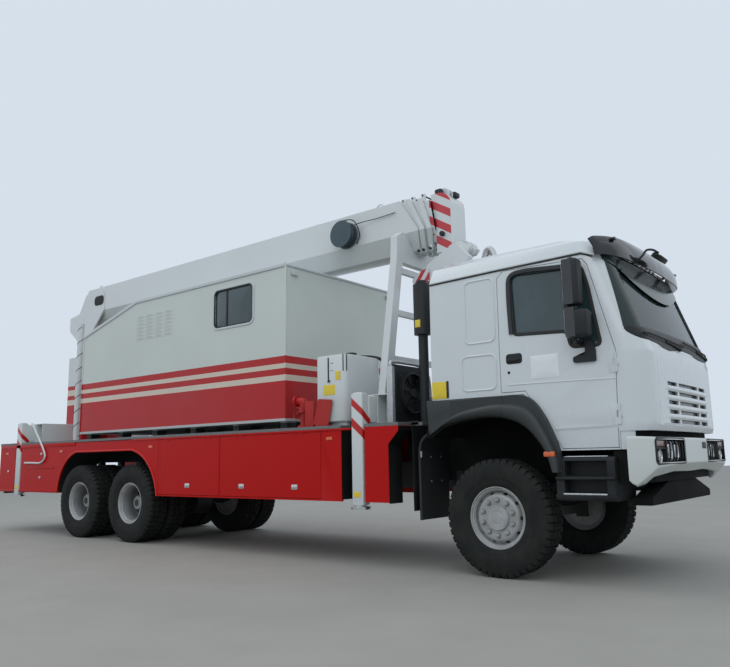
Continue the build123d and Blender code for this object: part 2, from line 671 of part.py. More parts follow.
with BuildPart() as cab_solid:
    cab_block(0)
with BuildPart() as cab_grown:
    cab_block(-FIT)
with BuildPart() as cab_room:
    cab_block(CAB_WALL)
    span_box((CAB_REAR, WHEEL_ARCH_X + CAB_WALL), (-1300, 1300), (1000, CAB_FLOOR + CAB_WALL), Mode.SUBTRACT)
    span_box(
        (CAB_REAR, 6000),
        (-TUNNEL_Y - CAB_WALL, TUNNEL_Y + CAB_WALL),
        (1000, TUNNEL_Z + CAB_WALL),
        Mode.SUBTRACT,
    )
    span_box((NOSE_X - CAB_WALL, 6000), (-1300, 1300), (1000, NOSE_Z + CAB_WALL), Mode.SUBTRACT)
    with BuildSketch(Plane.XZ.offset(-1300)) as arch_room:
        with BuildLine():
            Polyline((WHEEL_ARCH_X, 1000), (WHEEL_ARCH_X, CAB_FLOOR + CAB_WALL))
            Line((WHEEL_ARCH_X, CAB_FLOOR + CAB_WALL), (WHEEL_ARCH_X + CAB_WALL, CAB_FLOOR + CAB_WALL))
            RadiusArc((WHEEL_ARCH_X + CAB_WALL, CAB_FLOOR + CAB_WALL), (STEP_X[0] + 30, SILL_Z), 760)
            Polyline((STEP_X[0] + 30, SILL_Z), (STEP_X[0] + 30, 1000), (WHEEL_ARCH_X, 1000))
        make_face()
    extrude(amount=2600, mode=Mode.SUBTRACT)
with BuildPart() as cab_wall:
    add(cab_solid.part)
    span_box((CAB_REAR - 10, WHEEL_ARCH_X), (-1300, 1300), (1000, CAB_FLOOR), Mode.SUBTRACT)
    span_box((CAB_REAR - 10, GRILLE_X + 25), (-TUNNEL_Y, TUNNEL_Y), (1000, TUNNEL_Z), Mode.SUBTRACT)
    span_box((NOSE_X, 6000), (-1300, 1300), (1000, NOSE_Z), Mode.SUBTRACT)
    with BuildSketch(Plane.XZ.offset(-1300)) as arch_cut:
        with BuildLine():
            Polyline((WHEEL_ARCH_X - 20, 1000), (WHEEL_ARCH_X - 20, CAB_FLOOR), (WHEEL_ARCH_X, CAB_FLOOR))
            RadiusArc((WHEEL_ARCH_X, CAB_FLOOR), (STEP_X[0] - 20, SILL_Z), 760)
            Polyline((STEP_X[0] - 20, SILL_Z), (STEP_X[0] - 20, 1000), (WHEEL_ARCH_X - 20, 1000))
        make_face()
    extrude(amount=2600, mode=Mode.SUBTRACT)
    add(cab_room.part, mode=Mode.SUBTRACT)

# Cab door outline and its window, points in length and height
DOOR_LINE = ((4409, 1766), (4665, 1766), (5010, 1210), (5525, 1210), (5558, 2076), (5345, 2900), (5300, 2960),
             (4480, 2985), (4409, 2920))
WINDOW_LINE = ((4545, 2935), (4570, 2323), (5120, 2294), (5150, 2140), (5435, 2130), (5345, 2700), (5290, 2895))
SCREEN_LINE = ((-1010, 2270), (1010, 2270), (940, 2940), (-940, 2940))


def side_prism(points, side, grow):
    """Prism through one side of the cab with an outline grown by one distance."""
    with BuildSketch(Plane.XZ.offset(-side * 1070)) as outline:
        Polygon(*points, align=None)
        if grow:
            offset(amount=grow, kind=Kind.INTERSECTION)
    return extrude(outline.sketch, amount=-side * 200, mode=Mode.PRIVATE)


DOOR_FACE_Y = CAB_SECTIONS[1][3]
DOOR_HINGE_Y = DOOR_FACE_Y + HINGE_R + 0.5
with BuildPart() as cab_shell:
    add(cab_wall.part)
    for _, side in SIDES:
        add(side_prism(DOOR_LINE, side, GAP), mode=Mode.SUBTRACT)
    # Windscreen opening
    with BuildSketch(Plane.YZ.offset(5000)) as screen:
        Polygon(*SCREEN_LINE, align=None)
    extrude(amount=1000, mode=Mode.SUBTRACT)
    # Front panel opening
    with BuildSketch(Plane.YZ.offset(GRILLE_X - GAP)) as front_opening:
        with Locations((0, sum(GRILLE_Z) / 2)):
            RectangleRounded(2 * GRILLE_Y, GRILLE_Z[1] - GRILLE_Z[0], 60)
    extrude(amount=300, mode=Mode.SUBTRACT)
    for _, side in SIDES:
        for middle in DOOR_HINGE_Z:
            hinge("z", (DOOR_HINGE_X, side * DOOR_HINGE_Y), middle, HINGE_BARREL, HINGE_R,
                  ((DOOR_HINGE_X, DOOR_HINGE_X + 25), side_span(side, DOOR_FACE_Y - 12, DOOR_FACE_Y + 5)), False)
        # Bore for the front panel's pin
        with Locations((PANEL_PIN[0], side * (GRILLE_Y + 15), PANEL_PIN[1])):
            Cylinder(PANEL_PIN_R + FIT, 50, rotation=(90, 0, 0), mode=Mode.SUBTRACT)
save(cab_shell.part, "cab_shell")

with BuildPart() as glass_outer:
    cab_block(14)
with BuildPart() as glass_inner:
    cab_block(14 + GLASS)
with BuildPart() as front_panel:
    with BuildSketch(Plane.YZ.offset(GRILLE_X)) as panel_line:
        with Locations((0, sum(GRILLE_Z) / 2)):
            RectangleRounded(2 * (GRILLE_Y - GAP), GRILLE_Z[1] - GRILLE_Z[0] - 2 * GAP, 60 - GAP)
    extrude(amount=300)
    add(cab_solid.part, mode=Mode.INTERSECT)
    add(cab_room.part, mode=Mode.SUBTRACT)
    for row in range(GRILLE_ROWS):
        slot_z = GRILLE_SLOTS_Z[0] + row * (GRILLE_SLOTS_Z[1] - GRILLE_SLOTS_Z[0] + GRILLE_BAR) / GRILLE_ROWS
        for _, side in SIDES:
            span_box(
                (GRILLE_X - 10, GRILLE_X + 200), side_span(side, 12, 660), (slot_z, slot_z + GRILLE_SLOT), Mode.SUBTRACT
            )
    for _, side in SIDES:
        with Locations((PANEL_PIN[0], side * (GRILLE_Y - GAP + 3), PANEL_PIN[1])):
            Cylinder(PANEL_PIN_R, 40, rotation=(90, 0, 0))
save(front_panel.part, "front_panel")

for word, side in SIDES:
    with BuildPart() as door:
        add(side_prism(DOOR_LINE, side, 0))
        add(cab_wall.part, mode=Mode.INTERSECT)
        add(side_prism(WINDOW_LINE, side, 0), mode=Mode.SUBTRACT)
        for middle in DOOR_HINGE_Z:
            hinge("z", (DOOR_HINGE_X, side * DOOR_HINGE_Y), middle, HINGE_BARREL, HINGE_R,
                  ((DOOR_HINGE_X - 70, DOOR_HINGE_X), side_span(side, DOOR_FACE_Y + 1, DOOR_FACE_Y + 5)), True)
            span_box(
                (DOOR_HINGE_X - 70, DOOR_HINGE_X - 31),
                side_span(side, DOOR_FACE_Y - 12, DOOR_FACE_Y + 5),
                (middle - 1.5 * HINGE_BARREL, middle + 1.5 * HINGE_BARREL),
            )
        # Two mirror heads on their arm
        span_box((5225, 5255), side_span(side, 1135, 1270), (2150, 2180))
        span_box((5225, 5255), side_span(side, 1120, 1270), (2930, 2955))
        span_box((5225, 5255), side_span(side, 1240, 1270), (2150, 2955))
        span_box((5195, 5285), side_span(side, 1200, 1350), (2501, 2925))
        span_box((5195, 5285), side_span(side, 1200, 1350), (2200, 2471))
    save(door.part, f"door_{word}")
    with BuildPart() as door_glass:
        add(side_prism(WINDOW_LINE, side, 0))
        add(glass_outer.part, mode=Mode.INTERSECT)
        add(glass_inner.part, mode=Mode.SUBTRACT)
    save(door_glass.part, f"door_glass_{word}")

# Locker doors, hinged along their top edges
for word, side in SIDES:
    for number, door in enumerate(LOCKER_DOORS, start=1):
        with BuildPart() as locker_door:
            span_box(door, side_span(side, SIDE_Y - LIP - SKIRT_WALL, SIDE_Y - LIP), DOOR_Z)
            for middle in locker_hinges((door,)):
                hinge("x", (side * LOCKER_HINGE[0], LOCKER_HINGE[1]), middle, HINGE_BARREL, LOCKER_HINGE_R,
                      (side_span(side, SIDE_Y - LIP - 1, LOCKER_HINGE[0]), (DOOR_Z[1] - 30, LOCKER_HINGE[1])), True)
        save(locker_door.part, f"locker_door_{word}_{number}")

# Bumper with lamp pockets, its lower chin and the under-run bar
LAMP_Y = (560, 900)
LAMP_Z = (1085, 1245)
with BuildPart() as bumper:
    with BuildSketch(Plane.XY.offset(1035)) as bumper_plan:
        Polygon(
            (5560, -1150), (5700, -1150), (5845, -960), (FRONT_X, -500),
            (FRONT_X, 500), (5845, 960), (5700, 1150), (5560, 1150),
            (5560, 1090), (5680, 1090), (5790, 920), (5815, 480),
            (5815, -480), (5790, -920), (5680, -1090), (5560, -1090),
            align=None,
        )
    extrude(amount=265)
    with BuildSketch(Plane.XY.offset(880)) as chin_plan:
        Polygon(
            (5600, -1090), (5690, -1090), (5790, -940), (5830, -480),
            (5830, 480), (5790, 940), (5690, 1090), (5600, 1090),
            (5600, 1050), (5660, 1050), (5750, 900), (5790, 480),
            (5790, -480), (5750, -900), (5660, -1050), (5600, -1050),
            align=None,
        )
    extrude(amount=162)
    for _, side in SIDES:
        span_box((5770, 5900), side_span(side, *LAMP_Y), LAMP_Z, Mode.SUBTRACT)
        span_box((5460 + FIT, 5820), side_span(side, RAIL_Y - RAIL_FLANGE, RAIL_Y), (960, 1060))
    span_box((5700, 5760), (-800, 800), (730, 790))
    for _, side in SIDES:
        span_box((5600, 5755), side_span(side, 330, 390), (735, 1010))
save(bumper.part, "bumper")

with BuildPart() as lamps:
    for _, side in SIDES:
        span_box(
            (5775, 5835),
            side_span(side, LAMP_Y[0] + FIT, LAMP_Y[1] - FIT),
            (LAMP_Z[0] + FIT, LAMP_Z[1] - FIT),
        )
        span_box((REAR_X + 20, REAR_X + 75), side_span(side, 760, 1120), (780 + FIT, 900))
save(lamps.part, "lamps")

# Sun visor, wheel-arch flares with their liners, mudguards and steps
with BuildPart() as cab_trim:
    with BuildSketch(Plane.XY.offset(3030)) as visor_plan:
        Polygon(
            (5400, -1150), (5560, -1090), (5700, -700), (5735, 0), (5700, 700), (5560, 1090), (5400, 1150),
            (5400, 1131), (5540, 900), (5560, 0), (5540, -900), (5400, -1131),
            align=None,
        )
    extrude(amount=110)
    for y in (-700, 0, 700):
        span_box((5390, 5600), (y - 25, y + 25), (3050, 3080))
    add(cab_grown.part, mode=Mode.SUBTRACT)
    for _, side in SIDES:
        with BuildSketch(Plane.XZ.offset(-side * 1175)) as flare:
            with BuildLine():
                Polyline((3560, 1361), (3560, CAB_FLOOR - FIT), (WHEEL_ARCH_X - 25, CAB_FLOOR - FIT))
                RadiusArc((WHEEL_ARCH_X - 25, CAB_FLOOR - FIT), (STEP_X[0] - 25, SILL_Z - 40), 760)
                Polyline((STEP_X[0] - 25, SILL_Z - 40), (4900, 1000), (4850, 1015))
                RadiusArc((4850, 1015), (4440, 1545), -760)
                Polyline((4440, 1545), (3760, 1490), (3560, 1361))
            make_face()
        extrude(amount=side * 60)
        with BuildSketch(Plane.XZ.offset(-side * 1116)) as liner:
            with BuildLine():
                Polyline((3560, 1361), (3760, 1490), (4440, 1545))
                RadiusArc((4440, 1545), (4850, 1015), 760)
                Polyline((4850, 1015), (4866, 1025))
                RadiusArc((4866, 1025), (4446, 1561), -775)
                Polyline((4446, 1561), (3756, 1506), (3550, 1375), (3560, 1361))
            make_face()
        extrude(amount=side * 560)
        span_box((3420, 3436), side_span(side, 620, 1170), (509, 1340))
        span_box((3420, 3575), side_span(side, 1154, 1170), (509, 1340))
        span_box((3420, 3575), side_span(side, 600, 1170), (1340, 1375))
        # Steps hung below the sill
        with BuildSketch(Plane.YZ.offset(STEP_X[0])) as step_side:
            Polygon(
                (side * 620, 1130), (side * 1180, 1130), (side * 1215, 790), (side * 1215, 745),
                (side * 760, 745), (side * 700, 900),
                align=None,
            )
        extrude(amount=STEP_X[1] - STEP_X[0])
        for low, high in ((800, 900), (940, 1085)):
            span_box(
                (STEP_X[0] + 30, STEP_X[1] - 30), side_span(side, 850, 1300), (low, high), Mode.SUBTRACT
            )
        span_box((STEP_X[0] + 40, STEP_X[1] - 40), side_span(side, 640, 760), (1130, SILL_Z - FIT))
save(cab_trim.part, "cab_trim")

# Seats, dashboard and steering wheel
with BuildPart() as cab_interior:
    for y in (-620, 620):
        span_box((4330, 4830), (y - 250, y + 250), (CAB_FLOOR + CAB_WALL, 2080))
        with BuildSketch(Plane.XZ.offset(-y - 250)) as backrest:
            Polygon((4310, 2080), (4440, 2080), (4330, 2750), (4230, 2750), align=None)
        extrude(amount=500)
    with BuildSketch(Plane.XZ.offset(-1040)) as dash:
        Polygon((5300, TUNNEL_Z + CAB_WALL + FIT), (5640, TUNNEL_Z + CAB_WALL + FIT), (5640, 2190), (5480, 2220), (5250, 2120), align=None)
    extrude(amount=2080)
    with Locations(Location((5180, 620, 2270), (0, -25, 0))):
        Torus(215, 16)
        Cylinder(30, 60)
        Box(400, 24, 12)
    rod_between((5190, 620, 2250), (5330, 620, 2000), 26)
save(cab_interior.part, "cab_interior")

# Fixed glass: windscreen, the cabin's side windows and its rear window
with BuildPart() as fixed_glass:
    with BuildSketch(Plane.YZ.offset(5000)) as screen_cut:
        Polygon(*SCREEN_LINE, align=None)
    extrude(amount=1000)
    add(glass_outer.part, mode=Mode.INTERSECT)
    add(glass_inner.part, mode=Mode.SUBTRACT)
    for _, side in SIDES:
        span_box(CABIN_WINDOW_X, side_span(side, CABIN_Y - 30, CABIN_Y - 30 + GLASS), CABIN_WINDOW_Z)
    span_box((CABIN_X[0] + 20, CABIN_X[0] + 20 + GLASS), (-REAR_WINDOW_Y, REAR_WINDOW_Y), REAR_WINDOW_Z)
save(fixed_glass.part, "fixed_glass")

# Oil tank on its feet, level gauge and straps
with BuildPart() as oil_tank:
    span_box((1947, 2399), (-1150, -450), (1577, 2371))
    fillet(oil_tank.edges().filter_by(Axis.Z), radius=80)
    with Locations((2050, -1000, 2395)):
        Cylinder(55, 50)
    for y in (-1050, -550):
        span_box((1990, 2356), (y - 30, y + 30), (DECK_Z[1], 1577))
    with Locations((2173, -800, 2371)):
        Cylinder(70, 60)
save(oil_tank.part, "oil_tank")

# Deck fittings: oil cooler with its round fan shroud, flanged riser with its elbow, slanted board, air intake
INTAKE = (3285, 590)
INTAKE_TOP = 3765
INTAKE_R = 72
with BuildPart() as deck_fittings:
    span_box((3000, 3300), (-985, -925), (DECK_Z[1], 2207))
    with Locations((3150, -995, 1880)):
        Cylinder(140, 30, rotation=(90, 0, 0))
    with Locations((3150, -1005, 1880)):
        Cylinder(120, 40, rotation=(90, 0, 0), mode=Mode.SUBTRACT)
        Cylinder(30, 40, rotation=(90, 0, 0))
    span_box((2967 + FIT, 3000), (-985, -925), (DECK_Z[1], 2230))
    with Locations((1680, -1090, 1550)):
        Cylinder(75, 40)
    with Locations((1680, -1090, 1680)):
        Cylinder(40, 260)
    with Locations((1680, -1090, 1760)):
        Cylinder(70, 30)
    with Locations((1650, -1090, 1850)):
        Cylinder(48, 160, rotation=(0, 90, 0))
    with Locations((1600, -1090, 1850)):
        Cylinder(75, 25, rotation=(0, 90, 0))
    with BuildSketch(Plane.XZ.offset(1180)) as board:
        Polygon((1780, DECK_Z[1]), (1920, DECK_Z[1]), (1900, 1840), (1820, 1840), align=None)
    extrude(amount=-20)
    # Air intake: an upright pipe with an elbow above the cab's roof
    span_box((3220, 3350), (520, 660), (DECK_Z[1], DECK_Z[1] + 30))
    with Locations((*INTAKE, (DECK_Z[1] + INTAKE_TOP) / 2)):
        Cylinder(INTAKE_R, INTAKE_TOP - DECK_Z[1])
    with Locations((*INTAKE, INTAKE_TOP)):
        Sphere(INTAKE_R)
    with Locations((INTAKE[0] + 100, INTAKE[1], INTAKE_TOP)):
        Cylinder(INTAKE_R, 200, rotation=(0, 90, 0))
save(deck_fittings.part, "deck_fittings")

# Upright exhaust inside its perforated shield
EXHAUST = (3270, -800)
with BuildPart() as exhaust:
    with Locations((*EXHAUST, 2814)):
        Cylinder(100, 580)
    with Locations((*EXHAUST, (DECK_Z[1] + 2524) / 2)):
        Cylinder(55, 2524 - DECK_Z[1])
    with Locations((*EXHAUST, 3110)):
        Cylinder(60, 80)
save(exhaust.part, "exhaust")

# Boom rest: two leaning legs, cross bars and a saddle that follows the boom's keel
REST_X = (2620, 2720)
REST_FOOT = HOUSING_Z[1]
with BuildPart() as boom_rest:
    for _, side in SIDES:
        with BuildSketch(Plane.YZ.offset(REST_X[0])) as rest_leg:
            Polygon(
                (side * 960, REST_FOOT), (side * 830, REST_FOOT), (side * 370, 3660), (side * 500, 3660),
                align=None,
            )
        extrude(amount=REST_X[1] - REST_X[0])
    for z, half in ((2330, 850), (2910, 690), (3460, 520)):
        span_box((REST_X[0] + 20, REST_X[1] - 20), (-half + 60, half - 60), (z - 35, z + 35))
    with BuildSketch(Plane.YZ.offset(REST_X[0])) as saddle:
        Polygon(
            (-520, 3560), (520, 3560), (480, 3880), (350, 3960), (BOOM_Y - 30, 3880), (BOOM_KEEL_Y, BOOM_BOTTOM - FIT),
            (-BOOM_KEEL_Y, BOOM_BOTTOM - FIT), (-BOOM_Y + 30, 3880), (-350, 3960), (-480, 3880),
            align=None,
        )
    extrude(amount=REST_X[1] - REST_X[0])
save(boom_rest.part, "boom_rest")

# Crane column: wide foot, narrow neck between the boom's ears, open at the front for the lift cylinder
SLOT_Y = 110
with BuildPart() as column:
    with BuildSketch(Plane.XZ.offset(-COLUMN_Y)) as column_side:
        Polygon(
            (COLUMN_X[0], HOUSING_Z[1] + FIT),
            (HOUSING_X[0] + HOUSING_W + FIT, HOUSING_Z[1] + FIT),
            (HOUSING_X[0] + HOUSING_W + FIT, DECK_Z[1]),
            (COLUMN_X[1], DECK_Z[1]),
            (COLUMN_X[1], COLUMN_TOP),
            (COLUMN_X[0], COLUMN_TOP),
            align=None,
        )
    extrude(amount=2 * COLUMN_Y)
    neck_y = EAR_Y - EAR_WALL - GAP
    for _, side in SIDES:
        span_box(
            (COLUMN_X[0] - 10, COLUMN_X[1] + 10), side_span(side, neck_y, 500), (COLUMN_NECK, 3600), Mode.SUBTRACT
        )
    span_box((-4800, COLUMN_X[1] + 10), (-SLOT_Y, SLOT_Y), (1600, 3600), Mode.SUBTRACT)
    with Locations((PIVOT_X, 0, PIVOT_Z)):
        Cylinder(PIVOT_R, 2 * (EAR_Y + 20), rotation=(90, 0, 0))
    for _, side in SIDES:
        span_box((COLUMN_X[1], LIFT_FOOT[0] + 60), side_span(side, 85, 135), (LIFT_FOOT[1] - 80, LIFT_FOOT[1] + 60))
    with Locations((LIFT_FOOT[0], 0, LIFT_FOOT[1])):
        Cylinder(LIFT_PIN_R, 2 * 150, rotation=(90, 0, 0))
save(column.part, "column")


# Telescopic boom: nested six-sided tubes, each with a collar at its mouth
def boom_profile(x, inset):
    """Six-sided section of the boom drawn in by one distance."""
    with BuildSketch(Plane.YZ.offset(x)) as profile:
        Polygon(
            (-BOOM_Y, BOOM_TOP), (-BOOM_Y, BOOM_SIDE_Z), (-BOOM_KEEL_Y, BOOM_BOTTOM),
            (BOOM_KEEL_Y, BOOM_BOTTOM), (BOOM_Y, BOOM_SIDE_Z), (BOOM_Y, BOOM_TOP),
            align=None,
        )
        if inset:
            offset(amount=-inset, kind=Kind.INTERSECTION)
    return profile.sketch


STEP_IN = BOOM_WALL + BOOM_GAP
COLLAR_L = 62
TUBE_Z = (BOOM_BOTTOM - 10, BOOM_TOP + 10)
CORNER_Z = 3990
# Columns: name, number of steps in, rear end, front edge's length at the top, the side's corner and the bottom
TUBES = (
    ("boom", 0, -5060, (2610, 2885, 2820)),
    ("boom_section_2", 1, -4700, (2757, 2972, 2905)),
    ("boom_section_3", 2, -4600, (2915, 3060, 2995)),
    ("boom_section_4", 3, -4500, (3015, 3085, 3085)),
)
ROOT_TOP_X = -4780
ROOT_CORNER_Z = 4000
ROOT_CAP = 45
HEAD_Y = 155
HEAD_X = 3310
HEAD_Z = (3660, 4435)
HEAD_ROUND = 190
REEL = (1740, 4130)
REEL_R = 180
RING_X = (-4700, 2137)
RING_R = 60


def boom_slice(inset, *outline):
    """The boom's six-sided solid, drawn in by one distance and kept inside an outline in length and height."""
    bar = extrude(boom_profile(-5500, inset), amount=9500, mode=Mode.PRIVATE)
    with BuildSketch(Plane.XZ.offset(-400)) as cut:
        Polygon(*outline, align=None)
    return bar & extrude(cut.sketch, amount=800, mode=Mode.PRIVATE)


def front_edge(ends, shift=0):
    """The slanting front edge of a section, from its top to its bottom."""
    return tuple((x + shift, z) for x, z in zip(ends, (TUBE_Z[1], CORNER_Z, TUBE_Z[0])))


def rear_edge(step, rear, shift=0):
    """The rear edge of a section from its bottom to its top: the outer one leans forward above its corner."""
    if step:
        return ((rear, TUBE_Z[0]), (rear, TUBE_Z[1]))
    return ((rear + shift, TUBE_Z[0]), (rear + shift, ROOT_CORNER_Z), (ROOT_TOP_X + shift, TUBE_Z[1]))


for name, step, rear, ends in TUBES:
    inset = step * STEP_IN
    with BuildPart() as tube:
        add(boom_slice(inset, *rear_edge(step, rear), *front_edge(ends)))
        if step in (1, 2):
            add(boom_slice(inset - STEP_IN + 4, *front_edge(ends), *front_edge(ends, -COLLAR_L)[::-1]))
        add(boom_slice(inset + BOOM_WALL, *rear_edge(step, rear - 50 * min(step, 1), ROOT_CAP),
                       *front_edge(ends, 50)), mode=Mode.SUBTRACT)
        if step < 3:
            floor_z = BOOM_BOTTOM + inset + BOOM_WALL
            span_box((ends[2] - 300, ends[2]), (-90, 90), (floor_z, floor_z + BOOM_GAP - FIT))
        if step == 0:
            # Ears on the column's pin, the winch drum between them, ears for the lift cylinder
            with BuildSketch(Plane.XZ.offset(-EAR_Y)) as ear:
                with BuildLine():
                    Polyline(
                        (PIVOT_X - LOBE_R, PIVOT_Z), (-5390, 3700), (-5390, 3950), (rear, ROOT_CORNER_Z),
                        (-4840, 4340), (-4250, 4340), (-4200, 3990), (PIVOT_X + LOBE_R, PIVOT_Z),
                    )
                    RadiusArc((PIVOT_X + LOBE_R, PIVOT_Z), (PIVOT_X - LOBE_R, PIVOT_Z), LOBE_R)
                make_face()
                with Locations((PIVOT_X, PIVOT_Z)):
                    Circle(PIVOT_R + FIT, mode=Mode.SUBTRACT)
            extrude(ear.sketch, amount=EAR_WALL)
            extrude(ear.sketch.moved(Location((0, EAR_WALL - 2 * EAR_Y, 0))), amount=EAR_WALL)
            with Locations((-5230, 0, 3840)):
                Cylinder(110, 2 * EAR_Y - 10, rotation=(90, 0, 0))
            for _, side in SIDES:
                with BuildSketch(Plane.XZ.offset(-side * 60)) as lift_ear:
                    Polygon(
                        (LIFT_HEAD[0] - 130, BOOM_BOTTOM + 5), (LIFT_HEAD[0] - 60, LIFT_HEAD[1] - 60),
                        (LIFT_HEAD[0] + 60, LIFT_HEAD[1] - 60), (LIFT_HEAD[0] + 130, BOOM_BOTTOM + 5),
                        align=None,
                    )
                extrude(amount=-side * 25)
            # Cable reel on the right side, lifting rings on top
            for radius, inner, outer in ((REEL_R, 295, 310), (REEL_R - 45, BOOM_Y - 5, 420), (REEL_R, 420, 435)):
                with Locations((REEL[0], -(inner + outer) / 2, REEL[1])):
                    Cylinder(radius, outer - inner, rotation=(90, 0, 0))
            for x in RING_X:
                with Locations((x, -60, BOOM_TOP + RING_R + 4)):
                    Torus(RING_R, 9, rotation=(90, 0, 0))
                span_box((x - 30, x + 30), (-75, -45), (BOOM_TOP - 5, BOOM_TOP + 12))
        if step == 3:
            # Rounded head with its sheaves, the hook's cheeks and the folded fly arm
            with BuildSketch(Plane.XZ.offset(-HEAD_Y)) as head_side:
                with BuildLine():
                    Polyline(
                        (HEAD_X, HEAD_Z[1] - HEAD_ROUND), (HEAD_X, HEAD_Z[0]), (ends[2], HEAD_Z[0]),
                        (ends[1], CORNER_Z), (ends[0], HEAD_Z[1]), (HEAD_X - HEAD_ROUND, HEAD_Z[1]),
                    )
                    RadiusArc(
                        (HEAD_X - HEAD_ROUND, HEAD_Z[1]), (HEAD_X, HEAD_Z[1] - HEAD_ROUND), HEAD_ROUND
                    )
                make_face()
            extrude(head_side.sketch, amount=2 * HEAD_Y)
            for _, side in SIDES:
                with BuildSketch(Plane.XZ.offset(-side * 120)) as cheek:
                    Polygon(
                        (3250, HEAD_Z[0] + 100), (3400, HEAD_Z[0] + 100), (3540, HEAD_Z[0] + 5),
                        (3485, HEAD_Z[0] - 60), (3250, HEAD_Z[0] - 20),
                        align=None,
                    )
                extrude(amount=side * 20)
            with Locations((3420, 0, HEAD_Z[0] + 20)):
                Cylinder(85, 205, rotation=(90, 0, 0))
            with BuildSketch(Plane.XZ.offset(230)) as arm:
                Polygon(
                    (2960, 3500), (3330, 3700), (3420, 3690), (3570, 3520), (3540, 3440), (3230, 3400), (2990, 3310),
                    align=None,
                )
            extrude(amount=-110)
            with BuildSketch(Plane.XZ.offset(250)) as arm_end:
                Polygon((2886, 3434), (2770, 3350), (2770, 3300), (3000, 3300), (3010, 3460), align=None)
            extrude(amount=-150)
    save(tube.part, name)

# Lift cylinder: barrel on the column's foot, rod to the boom
lift = Vector(LIFT_HEAD[0] - LIFT_FOOT[0], 0, LIFT_HEAD[1] - LIFT_FOOT[1])
lift_unit = lift.normalized()
foot = Vector(LIFT_FOOT[0], 0, LIFT_FOOT[1])
head = Vector(LIFT_HEAD[0], 0, LIFT_HEAD[1])
BARREL_L = 1560
with BuildPart() as barrel:
    rod_between(tuple(foot + lift_unit * 40), tuple(foot + lift_unit * BARREL_L), BARREL_R)
    with Locations((LIFT_FOOT[0], 0, LIFT_FOOT[1])):
        Cylinder(LIFT_EYE_R, 2 * 80, rotation=(90, 0, 0))
        Cylinder(LIFT_PIN_R + FIT, 2 * 90, rotation=(90, 0, 0), mode=Mode.SUBTRACT)
    with BuildSketch(Plane(origin=tuple(foot + lift_unit * 120), z_dir=lift_unit)) as bore:
        Circle(ROD_R + FIT)
    extrude(bore.sketch, amount=BARREL_L, mode=Mode.SUBTRACT)
save(barrel.part, "lift_barrel")

with BuildPart() as rod:
    rod_between(tuple(foot + lift_unit * 130), tuple(head - lift_unit * 20), ROD_R)
    with Locations((LIFT_HEAD[0], 0, LIFT_HEAD[1])):
        Cylinder(LIFT_EYE_R, 2 * 50, rotation=(90, 0, 0))
save(rod.part, "lift_rod")
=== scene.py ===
"""Looks of the wireline truck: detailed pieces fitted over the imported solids, painted and worn finishes, studio."""

import json
import math

import bpy
import bmesh
import numpy as np
from mathutils import Matrix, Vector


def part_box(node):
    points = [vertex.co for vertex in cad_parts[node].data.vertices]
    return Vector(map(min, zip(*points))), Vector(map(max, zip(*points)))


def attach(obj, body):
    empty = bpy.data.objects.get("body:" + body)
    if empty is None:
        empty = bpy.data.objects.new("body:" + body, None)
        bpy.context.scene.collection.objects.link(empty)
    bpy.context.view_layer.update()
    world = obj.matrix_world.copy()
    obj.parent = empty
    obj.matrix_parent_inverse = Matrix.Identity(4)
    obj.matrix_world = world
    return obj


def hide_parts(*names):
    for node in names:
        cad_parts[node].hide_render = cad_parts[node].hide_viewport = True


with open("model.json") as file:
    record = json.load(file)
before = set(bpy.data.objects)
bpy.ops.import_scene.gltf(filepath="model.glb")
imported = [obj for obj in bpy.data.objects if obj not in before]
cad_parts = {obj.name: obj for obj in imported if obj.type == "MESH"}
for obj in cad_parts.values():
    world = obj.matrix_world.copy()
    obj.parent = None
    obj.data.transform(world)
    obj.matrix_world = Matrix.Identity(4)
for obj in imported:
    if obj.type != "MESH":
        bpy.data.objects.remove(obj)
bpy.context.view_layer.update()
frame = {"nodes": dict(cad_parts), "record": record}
SIDES = ((-1, "right"), (1, "left"))


# Camera at the photograph's angle
def aim_camera(place, yaw, pitch, roll, lens, shift_y):
    """Camera at a place, looking along a yaw and a pitch, turned by a roll, all in degrees."""
    yaw, pitch, roll = (math.radians(angle) for angle in (yaw, pitch, roll))
    ahead = np.array([math.cos(yaw) * math.cos(pitch), math.sin(yaw) * math.cos(pitch), math.sin(pitch)])
    right = np.array([math.sin(yaw), -math.cos(yaw), 0.0])
    over = np.cross(right, ahead)
    level = math.cos(roll) * right + math.sin(roll) * over
    upright = -math.sin(roll) * right + math.cos(roll) * over
    data = bpy.data.cameras.new("camera")
    data.lens, data.sensor_width, data.shift_y = lens, 36.0, shift_y
    data.clip_end = 200.0
    camera = bpy.data.objects.new("camera", data)
    bpy.context.scene.collection.objects.link(camera)
    turn = np.eye(4)
    turn[:3, 0], turn[:3, 1], turn[:3, 2], turn[:3, 3] = level, upright, -ahead, place
    camera.matrix_world = Matrix(turn.tolist())
    bpy.context.scene.camera = camera


aim_camera((7.815, -7.517, 1.152), 128.748, 9.613, -1.036, 35.604, 0.0035)


